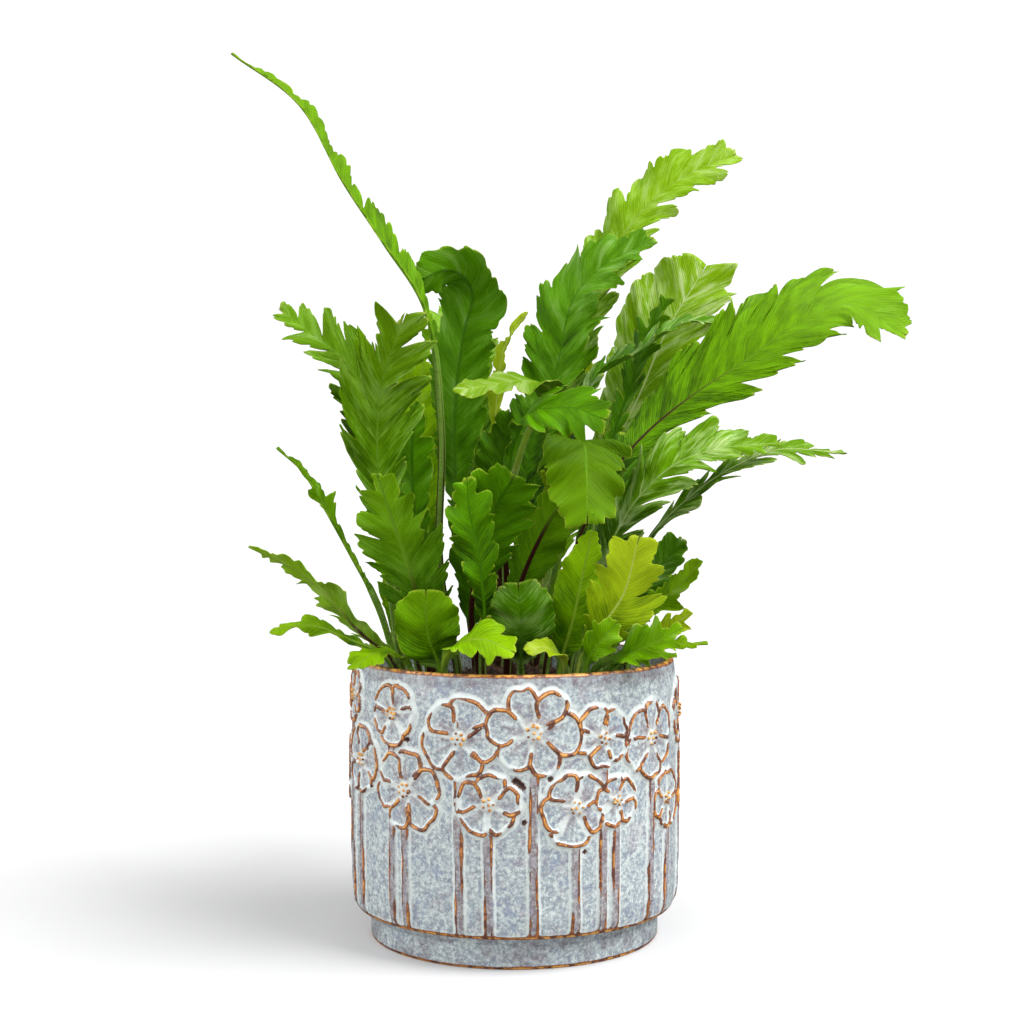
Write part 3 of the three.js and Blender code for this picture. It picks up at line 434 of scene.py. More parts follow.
def leaf_group(mottle: bpy.types.NodeTree) -> bpy.types.NodeTree:
    """The surface of a blade: veins, midrib, margin, underside, ageing tip, and painted shade, light and
    sheen, from the mesh's fields.

    The field leaf_place holds millimetres along the midrib, slanted with the veins, then across
    from it and in from the margin. The field leaf_state holds the underside (0 or 1), the dark
    midrib's strength and the share of the frond. The field leaf_form holds the gloss, the stalk
    (0 or 1) and the painted shade of the folds: low, as painted shade, in their hollows and high,
    as painted light, on their crests.

    Args:
        mottle: The shared patch group.

    Returns:
        The node group.
    """
    wire, takes, gives = new_group(
        "Leaf surface",
        {
            "Dark Colour": rgb(40, 100, 15), "Light Colour": rgb(90, 150, 30),
            "Under Colour": rgb(110, 150, 70), "Midrib Colour": rgb(150, 180, 90),
            "Tip Colour": rgb(150, 190, 50), "Margin Colour": rgb(176, 190, 62),
            "Dark Midrib Colour": rgb(58, 26, 20), "Stalk Colour": rgb(110, 142, 58),
            "Painted Sheen Colour": rgb(212, 228, 156), "Tip Share": 0.4, "Roughness": 0.38,
        },
        {"Colour": "Color", "Roughness": "Float", "Height": "Float", "Wax": "Float"},
    )
    along, across, inward = wire.field("leaf_place")
    under, dark_rib, share = wire.field("leaf_state")
    gloss, stalk, fold_shade = wire.field("leaf_form")

    # Patterns that run out along the veins
    streaks = wire.noise(wire.scaled(along, across, STREAK_SIZES, takes["Tip Share"]), 1.0, 3.0, 0.6)
    broad = wire.noise(wire.scaled(along, across, BROAD_SIZES, stalk), 1.0, 3.0, 0.6)
    fine = wire.noise(wire.scaled(along, across, FINE_SIZES, 3.0), 1.0, 2.0, 0.6)
    veins = wire.math("SINE", wire.plus(wire.times(along, VEIN_TURN), wire.times(streaks, VEIN_WANDER)))
    threads = wire.times(wire.ease(veins, -0.9, 0.9), wire.ease(fine, 0.3, 0.6))

    # Green of the blade: its mottle, darker towards the root, painted shade in the folds' hollows and painted
    # light on their crests, the underside and the ageing tip
    tone = wire.plus(
        wire.times(wire.mottled(mottle, 30.0, 260.0, 0.2, 1.4), 0.34),
        wire.ease(streaks, 0.3, 0.7, 0.13), wire.ease(fine, 0.35, 0.7, 0.19),
        wire.ease(broad, 0.36, 0.62, 0.4), wire.ease(fold_shade, -0.8, 0.9, 0.42),
        # Darker towards the root: partly its own colour and partly painted shade deep in the crown
        wire.ease(share, 0.75, 0.2, -0.2), wire.times(threads, 0.21), -0.19,
    )
    colour = wire.blend(wire.clamped(tone), takes["Dark Colour"], takes["Light Colour"])
    colour = wire.blend(under, colour, takes["Under Colour"], 0.4)
    # Painted deep shade: where the folds' painted shade is lowest, the colour goes to the dark green
    colour = wire.blend(wire.ease(fold_shade, -0.8, -2.0, 0.75), colour, takes["Dark Colour"])
    # Yellower towards the tip: partly its ageing colour and partly painted light shining through the thin
    # blade
    age = wire.ease(wire.plus(share, wire.times(streaks, 0.3)), 0.5, 1.25)
    colour = wire.blend(wire.times(age, takes["Tip Share"]), colour, takes["Tip Colour"])

    # Margin, stalk and midrib
    from_margin = wire.plus(inward, wire.times(streaks, -0.9))
    margin = wire.times(wire.ease(from_margin, 0.1, -0.35), wire.ease(broad, 0.36, 0.6))
    colour = wire.blend(margin, colour, takes["Margin Colour"], 0.5)
    stalk_line = wire.times(under, wire.ease(across, 1.25, 0.8))
    stalk_tone = wire.blend(stalk_line, takes["Stalk Colour"], takes["Dark Midrib Colour"], 0.9)
    colour = wire.blend(wire.times(stalk, wire.ease(streaks, 0.1, 0.55)), colour, stalk_tone)
    rib_width = wire.plus(wire.math("SUBTRACT", 1.3, share), wire.times(under, 0.45))
    rib = wire.ease(wire.math("DIVIDE", across, rib_width), 1.05, 0.6)
    # Glossy fronds get a midrib in the pale sheen colour: a painted highlight along it
    pale_rib = wire.blend(wire.ease(gloss, 0.5, 0.9, 0.7), takes["Midrib Colour"], takes["Painted Sheen Colour"])
    colour = wire.blend(rib, colour, wire.blend(dark_rib, pale_rib, takes["Dark Midrib Colour"]))

    # Painted sheen: pale colour in broad streaks on glossy fronds and on the folds' crests, weaker on the
    # underside; the same mask sets the coat
    grain = wire.plus(wire.times(streaks, 0.35), wire.times(fine, 0.25), wire.times(broad, 0.8))
    bands = wire.ease(grain, 0.64, 0.9)
    shine = wire.plus(gloss, wire.ease(fold_shade, 0.2, 1.0, 0.25))
    upper = wire.math("SUBTRACT", 1.0, wire.times(under, 0.6))
    sheen_and_coat = wire.times(wire.times(shine, bands), upper)
    wire.link({
        "Colour": wire.blend(sheen_and_coat, colour, takes["Painted Sheen Colour"], 0.62),
        "Roughness": wire.plus(
            takes["Roughness"], wire.times(streaks, 0.3), wire.times(under, 0.2), -0.15,
        ),
        "Height": wire.plus(wire.times(veins, 0.14), wire.times(streaks, 0.8), wire.times(fine, 0.4)),
        "Wax": sheen_and_coat,
    }, gives)
    return wire.tree


# Finishes


@dataclass(frozen=True)
class LeafFinish:
    """The colours and gloss of the fronds of one age."""

    tone: Tone
    dark: Colour
    light: Colour
    under: Colour
    tip: Colour
    midrib: Colour
    tip_share: float = 0.5
    roughness: float = 0.44

    def material(self, surface: bpy.types.NodeTree) -> bpy.types.Material:
        """Makes the leaf material.

        Args:
            surface: The shared blade surface group.

        Returns:
            The material.
        """
        made, wire, shader = new_material(self.tone.value, Specular_IOR_Level=0.05, Coat_Roughness=0.2)
        looks = wire.group(surface, {
            "Dark Colour": self.dark, "Light Colour": self.light, "Under Colour": self.under,
            "Tip Colour": self.tip, "Tip Share": self.tip_share, "Midrib Colour": self.midrib,
            "Roughness": self.roughness,
        }).outputs
        wire.link({
            "Base Color": looks["Colour"], "Roughness": looks["Roughness"], "Coat Weight": looks["Wax"],
            "Normal": wire.bump(looks["Height"], 0.0006, 0.7),
        }, shader.inputs)
        return made


LEAF_FINISHES = (
    LeafFinish(
        Tone.DEEP, dark=rgb(6, 28, 0), light=rgb(90, 150, 0), under=rgb(76, 132, 0),
        tip=rgb(94, 152, 2), midrib=rgb(66, 116, 4), tip_share=0.35, roughness=0.42,
    ),
    LeafFinish(
        Tone.MID, dark=rgb(10, 46, 0), light=rgb(106, 164, 0), under=rgb(78, 130, 6),
        tip=rgb(124, 172, 4), midrib=rgb(100, 144, 24),
    ),
    LeafFinish(
        Tone.FRESH, dark=rgb(32, 80, 0), light=rgb(132, 184, 2), under=rgb(124, 160, 44),
        tip=rgb(148, 190, 10), midrib=rgb(130, 164, 44),
    ),
    LeafFinish(
        Tone.LIME, dark=rgb(58, 102, 0), light=rgb(166, 200, 14), under=rgb(156, 184, 48),
        tip=rgb(188, 206, 36), midrib=rgb(178, 196, 84),
    ),
)


@dataclass(frozen=True)
class GlazeFinish:
    """The pot's mottled glaze: pale where it pools, grey-blue on the wall, gold-brown on crests with a
    painted highlight along them.
    """

    pale: Colour = rgb(234, 242, 238)
    wall: Colour = rgb(203, 215, 213)
    shade: Colour = rgb(138, 149, 164)
    blue: Colour = rgb(140, 158, 186)
    lilac: Colour = rgb(150, 134, 148)
    painted_gold_highlight: Colour = rgb(244, 182, 92)
    crest: Colour = rgb(178, 104, 44)
    crest_dark: Colour = rgb(104, 62, 46)
    stem: Colour = rgb(124, 92, 84)
    pit: Colour = rgb(50, 26, 18)
    foot_edge: tuple[float, float] = (0.0165, 0.0125)
    rim_edge: tuple[float, float] = (0.1185, 0.1245)

    def material(self, mottle: bpy.types.NodeTree) -> bpy.types.Material:
        """Makes the glaze, which reads the pot's fields of crest distance, mauve, pooling and pits.

        Args:
            mottle: The shared patch group.

        Returns:
            The material.
        """
        made, wire, shader = new_material("glaze", IOR=1.5, Coat_Weight=0.3, Coat_Roughness=0.16)
        crest, mauve, pool = wire.field("relief")
        flaw = wire.field("flaw")[0]
        where = wire.place()
        big = wire.mottled(mottle, 70.0, 600.0, 0.4, 1.6)
        small = wire.mottled(mottle, 320.0, 1600.0, 0.4, 2.1)
        fine = wire.mottled(mottle, 600.0, 2000.0, 0.4, 2.6)
        tint = wire.mottled(mottle, 120.0, 700.0, 0.45, 2.4)

        # The wall's mottle
        colour = wire.blend(small, self.shade, self.wall)
        for mask, other in (
            (wire.ease(fine, 0.5, 1.0, 0.6), self.pale), (wire.ease(fine, 0.4, 0.0, 0.5), self.shade),
            (wire.ease(tint, 0.6, 1.0, 0.45), self.lilac), (wire.ease(big, 0.35, 0.0, 0.5), self.blue),
            (wire.ease(big, 0.6, 1.0, 0.3), self.pale),
        ):
            colour = wire.blend(mask, colour, other)

        # Thin glaze on the foot and under the rim, and pooled glaze beside the forms
        height = wire.parts(where)[2]
        cloud = wire.plus(wire.ease(wire.noise(where, 60.0, 3.0), 0.42, 0.6, 0.7), 0.1)
        foot = wire.times(wire.ease(height, *self.foot_edge), cloud)
        bare = wire.math("MAXIMUM", foot, wire.ease(height, *self.rim_edge))
        colour = wire.blend(bare, colour, wire.blend(small, self.crest_dark, self.shade), 0.5)
        pooled = wire.ease(wire.plus(pool, wire.uneven(where, 420.0, 4.0, 0.9)), 0.2, 0.75)
        colour = wire.blend(pooled, colour, self.pale, 0.7)

        # Mauve faces of the stems and the petals' folds
        stem_tone = wire.blend(wire.ease(small, 0.1, 0.9), self.stem, self.lilac)
        stem_tone = wire.blend(wire.ease(fine, 0.55, 0.95, 0.6), stem_tone, self.wall)
        mauve = wire.times(mauve, wire.plus(wire.times(fine, 0.5), 0.62))
        colour = wire.blend(mauve, colour, stem_tone, 0.85)

        # Gold-brown crests, broken here and there and darker brown at their edges, with a painted highlight
        # in pale gold along the middle of each raised line
        line = wire.plus(crest, wire.uneven(where, 1100.0, 3.0, 0.7), wire.uneven(where, 90.0, 2.0, 0.9))
        tone = wire.noise(where, 260.0, 4.0, 0.6)
        crest_tone = wire.blend(wire.ease(tone, 0.4, 0.54), self.crest_dark, self.crest)
        crest_tone = wire.blend(wire.ease(line, 0.5, 0.85), crest_tone, self.crest_dark)
        painted_highlight = wire.times(wire.ease(tone, 0.44, 0.56), wire.ease(line, 0.5, 0.05))
        crest_tone = wire.blend(painted_highlight, crest_tone, self.painted_gold_highlight)
        colour = wire.blend(wire.ease(line, 1.05, 0.75), colour, crest_tone)

        # Pits with a brown ring
        colour = wire.blend(wire.ease(flaw, 0.04, 0.3), colour, self.crest_dark)
        colour = wire.blend(wire.ease(flaw, 0.45, 0.7), colour, self.pit)
        grain = wire.plus(wire.times(small, 0.6), wire.times(big, 0.6))
        wire.link({
            "Base Color": colour, "Roughness": wire.plus(wire.times(fine, 0.15), 0.24),
            "Normal": wire.bump(grain, 0.0002, 0.5),
        }, shader.inputs)
        return made


@dataclass(frozen=True)
class EarthFinish:
    """Soil or rhizome: dark and light browns in patches, rough all over."""

    name: str
    dark: Colour
    light: Colour
    patch_scale: float
    speckle_scale: float
    bump: float

    def material(self, mottle: bpy.types.NodeTree) -> bpy.types.Material:
        """Makes the material.

        Args:
            mottle: The shared patch group.

        Returns:
            The material.
        """
        made, wire, shader = new_material(self.name)
        patches = wire.mottled(mottle, self.patch_scale, self.speckle_scale, 0.5, 1.8)
        grain = wire.mottled(mottle, self.patch_scale * 4.0, self.speckle_scale * 2.0, 0.6, 1.5)
        wire.link({
            "Base Color": wire.blend(wire.times(patches, grain), self.dark, self.light),
            "Roughness": wire.plus(wire.times(grain, 0.2), 0.75),
            "Normal": wire.bump(grain, self.bump, 0.8),
        }, shader.inputs)
        return made


@dataclass(frozen=True)
class PaperFinish:
    """The plain pale floor, seen white by the camera and darker by what it lights."""

    pale: Colour = rgb(211, 211, 211)
    grey: Colour = rgb(208, 208, 209)
    bounce: Colour = rgb(140, 140, 140)
    mirrored: Colour = rgb(90, 90, 90)
    unlit: Colour = rgb(0, 0, 0)
    lift: Colour = rgb(90, 90, 91)

    def material(self, mottle: bpy.types.NodeTree) -> bpy.types.Material:
        """Makes the material.

        Args:
            mottle: The shared patch group.

        Returns:
            The material.
        """
        made, wire, shader = new_material("studio_paper", Roughness=0.9, Emission_Strength=1.0)
        soft = wire.mottled(mottle, 1.5, 30.0, 0.1, 0.6)
        rays = wire.node("LightPath").outputs
        seen = wire.blend(rays["Is Camera Ray"], self.bounce, wire.blend(soft, self.pale, self.grey))
        wire.link({
            "Base Color": wire.blend(rays["Is Glossy Ray"], seen, self.mirrored),
            "Emission Color": wire.blend(rays["Is Camera Ray"], self.unlit, self.lift),
        }, shader.inputs)
        return made


# Pot

# A distance from any crest that is too far to be gilded
NO_CREST = 9.0


@dataclass
class Flower:
    """One raised blossom on the pot's wall, with the straight stem under it."""

    azimuth: float
    height: float
    radius: float
    seed: int
    petals: int = 5
    crest_inset: float = 0.85
    crest_rise: float = 1.0
    crest_width: float = 0.75
    petal_rise: float = 0.7
    halo: float = 2.3

    petal_width = 0.68
    petal_wobble = 0.022
    window_share = 1.35
    thin_halo = 0.9
    eye_shares = (0.21, 0.14)
    eye_rise = 1.2
    stem_window = 6.0
    stem_half = 1.85
    stem_rise = 0.85

    def petal_outline(
        self, turn: float, reach: float, breadth: float, over: bool, rng: np.random.Generator,
    ) -> np.ndarray:
        """One petal's closed outline round the flower's centre, and how strong its crest is there.

        Args:
            turn: The petal's direction in radians.
            reach: How far it reaches.
            breadth: Its half width as a share of its reach.
            over: Whether it lies over its neighbours, so its sides are crested too.
            rng: Draws the outline's unevenness.

        Returns:
            Points across and up the wall, with the crest's strength as a third number.
        """
        side = np.linspace(0.0, 1.0, 11)[:-1]
        out = 0.13 + 0.47 * side
        half = 0.045 + (breadth - 0.045) * side**0.95
        sweep = np.linspace(math.pi / 2, -math.pi / 2, 23)
        notch = rng.uniform(0.0, 0.07) * np.exp(-((sweep - rng.uniform(-0.5, 0.5)) / 0.25) ** 2)
        end = 0.6 + 0.4 * np.abs(np.cos(sweep)) ** 0.8 - notch
        wide = breadth * np.sign(np.sin(sweep)) * np.abs(np.sin(sweep)) ** 0.85
        outward = np.concatenate([out, end, out[::-1]]) * reach
        across = np.concatenate([half, wide, -half[::-1]]) * reach
        starts = rng.uniform(0.0, 0.4, 2) if over else rng.uniform(0.7, 1.0, 2)
        first, last = (smooth(side, start, start + 0.2) for start in starts)
        rim = np.ones(len(sweep))
        gap = np.exp(-(((sweep - rng.uniform(-1.5, 1.5)) / rng.uniform(0.15, 0.4)) ** 2))
        rim *= 1.0 - rng.uniform(0.0, 1.0) * gap
        outline = np.stack([outward, across], -1)
        uneven = [ripple(outline, 0.45 * reach, self.seed * 31 + k, 6) for k in (0, 1)]
        outline += self.petal_wobble * reach * np.stack(uneven, -1)
        c, s = math.cos(turn), math.sin(turn)
        placed = outline @ np.array([[c, s], [-s, c]])
        return np.column_stack([placed, np.concatenate([first, rim, last[::-1]])])

    def outlines(self) -> list[tuple[np.ndarray, float]]:
        """The closed outlines of all its petals with their directions, those that lie under first."""
        rng = np.random.default_rng(self.seed + 40)
        lean = rng.uniform(0.0, 2.0 * math.pi)
        under, over = [], []
        for petal in range(self.petals):
            turn = lean + (petal + rng.uniform(-0.08, 0.08)) * 2.0 * math.pi / self.petals
            reach = self.radius * rng.uniform(0.92, 1.07)
            breadth = self.petal_width * math.tan(math.pi / self.petals) * rng.uniform(0.88, 1.18)
            lies_over = petal % 2 == 1 or rng.random() < 0.3
            outline = self.petal_outline(turn, reach, breadth, lies_over, rng)
            (over if lies_over else under).append((outline, turn))
        return under + over

    @staticmethod
    def wrinkles(
        angle: np.ndarray, share: np.ndarray, turn: float, rng: np.random.Generator,
    ) -> np.ndarray:
        """The fine dark folds that run out from the eye along one petal.

        Args:
            angle: Each place's direction from the flower's centre.
            share: Its distance as a share of the flower's radius.
            turn: The petal's direction.
            rng: Draws the folds.

        Returns:
            The folds' strength from 0 to 1.
        """
        away = (angle - turn + math.pi) % (2.0 * math.pi) - math.pi
        made = np.zeros(angle.shape)
        for middle in rng.uniform(-0.34, 0.34, 5):
            reach = rng.uniform(0.42, 0.85)
            near = np.exp(-(((away - middle) * share / 0.036) ** 2))
            made = np.maximum(made, near * smooth(share, 0.16, 0.26) * smooth(share, reach, reach - 0.25))
        return made * rng.uniform(0.7, 1.0)

    def paint(self, relief: "Relief") -> None:
        """Lays the blossom over what the wall's relief already holds.

        Args:
            relief: The wall's relief, changed in place.
        """
        half = self.radius * self.window_share
        across, up, rows, columns = relief.window(self.azimuth, self.height, half)
        points = np.stack([across, up], -1)
        angle = np.arctan2(up, across)
        share = np.hypot(across, up) / self.radius
        rng = np.random.default_rng(self.seed + 70)
        for outline, turn in self.outlines():
            inside, strength = signed_distance(points, outline[:, :2], outline[:, 2])
            crest = np.abs(inside - self.crest_inset)
            folds = self.wrinkles(angle, share, turn, rng)
            rise = self.petal_rise * (0.5 + 0.5 * smooth(share, 0.15, 0.8)) + 0.35 * folds
            rise += self.crest_rise * (0.15 + 0.85 * strength) * np.exp(-((crest / self.crest_width) ** 2))
            halo = self.thin_halo + (self.halo - self.thin_halo) * smooth(share, 0.3, 0.8)
            relief.flood(rows, columns, smooth(-inside / halo, 1.0, 0.4))
            pool = np.maximum(0.8 * smooth(crest / halo, 1.0, 0.4), 0.75 * smooth(inside, 1.0, 0.3))
            cover = smooth(inside, -0.5, 0.15)
            relief.cover(rows, columns, cover, rise, crest + 2.4 * (1.0 - strength), folds, pool)
        eye = smooth(share, *self.eye_shares)
        plain = np.ones(eye.shape)
        relief.cover(rows, columns, eye, plain * self.eye_rise, plain * NO_CREST, 0.0, 0.8)

    def paint_stem(self, relief: "Relief", foot: float) -> None:
        """Raises the straight stem from the pot's step up to the blossom.

        Args:
            relief: The wall's relief, changed in place.
            foot: The height of the stem's lower end.
        """
        across, up, rows, columns = relief.strip(self.azimuth, self.stem_window, foot, self.height)
        half = self.stem_half + 0.12 * np.sin(up * 0.21 + self.seed)
        half += 0.08 * np.sin(up * 0.73 + 2.0 * self.seed)
        across = across + 0.25 * np.sin(up * 0.09 + self.seed)
        inside = half - np.abs(across)
        hand = np.sign(across)
        slow = np.sin(up * 0.11 + self.seed * 1.9 + 1.6 * hand)
        quick = np.sin(up * 0.37 + self.seed + hand)
        bare = 0.5 + 0.6 * slow + 0.3 * quick
        crest = np.abs(inside - 0.4)
        rise = self.stem_rise + 0.4 * np.exp(-((crest / 0.5) ** 2))
        gilded = crest * 1.35 + 0.9 * np.clip(bare, 0.0, 1.0)
        relief.flood(rows, columns, smooth(-inside, 1.9, 0.7))
        relief.cover(rows, columns, smooth(inside, -0.5, 0.2), rise, gilded, smooth(inside, -0.1, 0.6))

    def beads(self) -> list[tuple[float, float, float]]:
        """The little beads at its eye, as places across and up and a size."""
        rng = np.random.default_rng(self.seed + 90)
        count = int(rng.integers(5, 8))
        made = [(rng.uniform(-0.3, 0.3), rng.uniform(-0.3, 0.3), 0.7)]
        ring = 0.1 * self.radius + 0.9
        for bead in range(count):
            turn = (bead + rng.uniform(-0.16, 0.16)) * 2.0 * math.pi / count
            reach = ring * rng.uniform(0.88, 1.12)
            made.append((math.cos(turn) * reach, math.sin(turn) * reach, rng.uniform(0.5, 0.95)))
        return made


def signed_distance(
    points: np.ndarray, outline: np.ndarray, carried: np.ndarray,
) -> tuple[np.ndarray, np.ndarray]:
    """Distance from a closed outline, above zero inside it, and a value carried from the outline.

    Args:
        points: Places, with two numbers in the last axis.
        outline: The outline's corners.
        carried: A value at each corner.

    Returns:
        The distance at each place, and the carried value at the nearest place of the outline.
    """
    nearest = np.full(points.shape[:-1], 1e9)
    value = np.zeros(points.shape[:-1])
    within = np.zeros(points.shape[:-1], bool)
    corners = zip(outline, np.roll(outline, -1, axis=0), carried, np.roll(carried, -1))
    for start, end, start_value, end_value in corners:
        way = end - start
        from_start = points - start
        share = np.clip((from_start @ way) / max(way @ way, 1e-12), 0.0, 1.0)
        away = np.linalg.norm(from_start - share[..., None] * way, axis=-1)
        value = np.where(away < nearest, start_value + share * (end_value - start_value), value)
        nearest = np.minimum(nearest, away)
        crosses = (start[1] > points[..., 1]) != (end[1] > points[..., 1])
        rise = way[1] if abs(way[1]) > 1e-9 else 1e-9
        within ^= crosses & (points[..., 0] < start[0] + way[0] * (points[..., 1] - start[1]) / rise)
    return np.where(within, nearest, -nearest), value


class Relief:
    """The raised pattern on the pot's wall: rise, crest distance, mauve, pooling and pits on a grid."""

    def __init__(self, azimuths: np.ndarray, heights: np.ndarray, radius: float) -> None:
        """Starts flat.

        Args:
            azimuths: Each column's azimuth in degrees.
            heights: Each row's height.
            radius: The wall's radius, which turns azimuth into length.
        """
        self.azimuths = azimuths
        self.heights = heights
        self.radius = radius
        size = (len(heights), len(azimuths))
        self.rise = np.zeros(size)
        self.crest = np.full(size, NO_CREST)
        self.mauve = np.zeros(size)
        self.pool = np.zeros(size)
        self.pit = np.zeros(size)

    def strip(self, azimuth: float, half: float, low: float, high: float) -> tuple[np.ndarray, ...]:
        """The part of the wall near an azimuth and between two heights.

        Args:
            azimuth: The middle, in degrees.
            half: Half its width along the wall.
            low: Its lower height.
            high: Its upper height.

        Returns:
            Lengths across from the middle, heights, row numbers and column numbers.
        """
        away = (self.azimuths - azimuth + 180.0) % 360.0 - 180.0
        length = np.radians(away) * self.radius
        columns = np.nonzero(np.abs(length) < half)[0]
        rows = np.nonzero((self.heights >= low) & (self.heights <= high))[0]
        across, up = np.meshgrid(length[columns], self.heights[rows])
        return across, up, rows, columns

    def window(self, azimuth: float, height: float, half: float) -> tuple[np.ndarray, ...]:
        """The part of the wall round a place, with lengths up counted from that place."""
        across, up, rows, columns = self.strip(azimuth, half, height - half, height + half)
        return across, up - height, rows, columns

    def cover(
        self, rows: np.ndarray, columns: np.ndarray, share: np.ndarray, rise: np.ndarray,
        crest: np.ndarray, mauve: np.ndarray | float = 0.0, pool: np.ndarray | float = 0.0,
    ) -> None:
        """Lays a form over what is there.

        Args:
            rows: Row numbers of the part.
            columns: Column numbers of the part.
            share: How far the form covers what was there, from 0 to 1.
            rise: The form's rise.
            crest: Distance from the form's crest lines.
            mauve: How far each place is a stem's face or a fold, where the glaze turns mauve.
            pool: How far pale glaze has pooled there.
        """
        part = np.ix_(rows, columns)
        self.rise[part] = self.rise[part] * (1.0 - share) + rise * share
        self.crest[part] = np.where(share > 0.5, crest, np.minimum(self.crest[part], crest))
        self.mauve[part] = self.mauve[part] * (1.0 - share) + mauve * share
        self.pool[part] = self.pool[part] * (1.0 - share) + pool * share

    def flood(self, rows: np.ndarray, columns: np.ndarray, pool: np.ndarray) -> None:
        """Lets pale glaze pool beside a form that is about to be laid."""
        part = np.ix_(rows, columns)
        self.pool[part] = np.maximum(self.pool[part], pool)

    def prick(self, azimuth: float, height: float, size: float) -> None:
        """Sinks a small dark pit, where the glaze has crept back."""
        across, up, rows, columns = self.window(azimuth, height, size * 3.0)
        part = np.ix_(rows, columns)
        depth = np.exp(-((np.hypot(across, up) / (0.8 * size)) ** 2))
        self.rise[part] -= 0.7 * depth
        self.pit[part] = np.maximum(self.pit[part], smooth(depth, 0.1, 0.6))


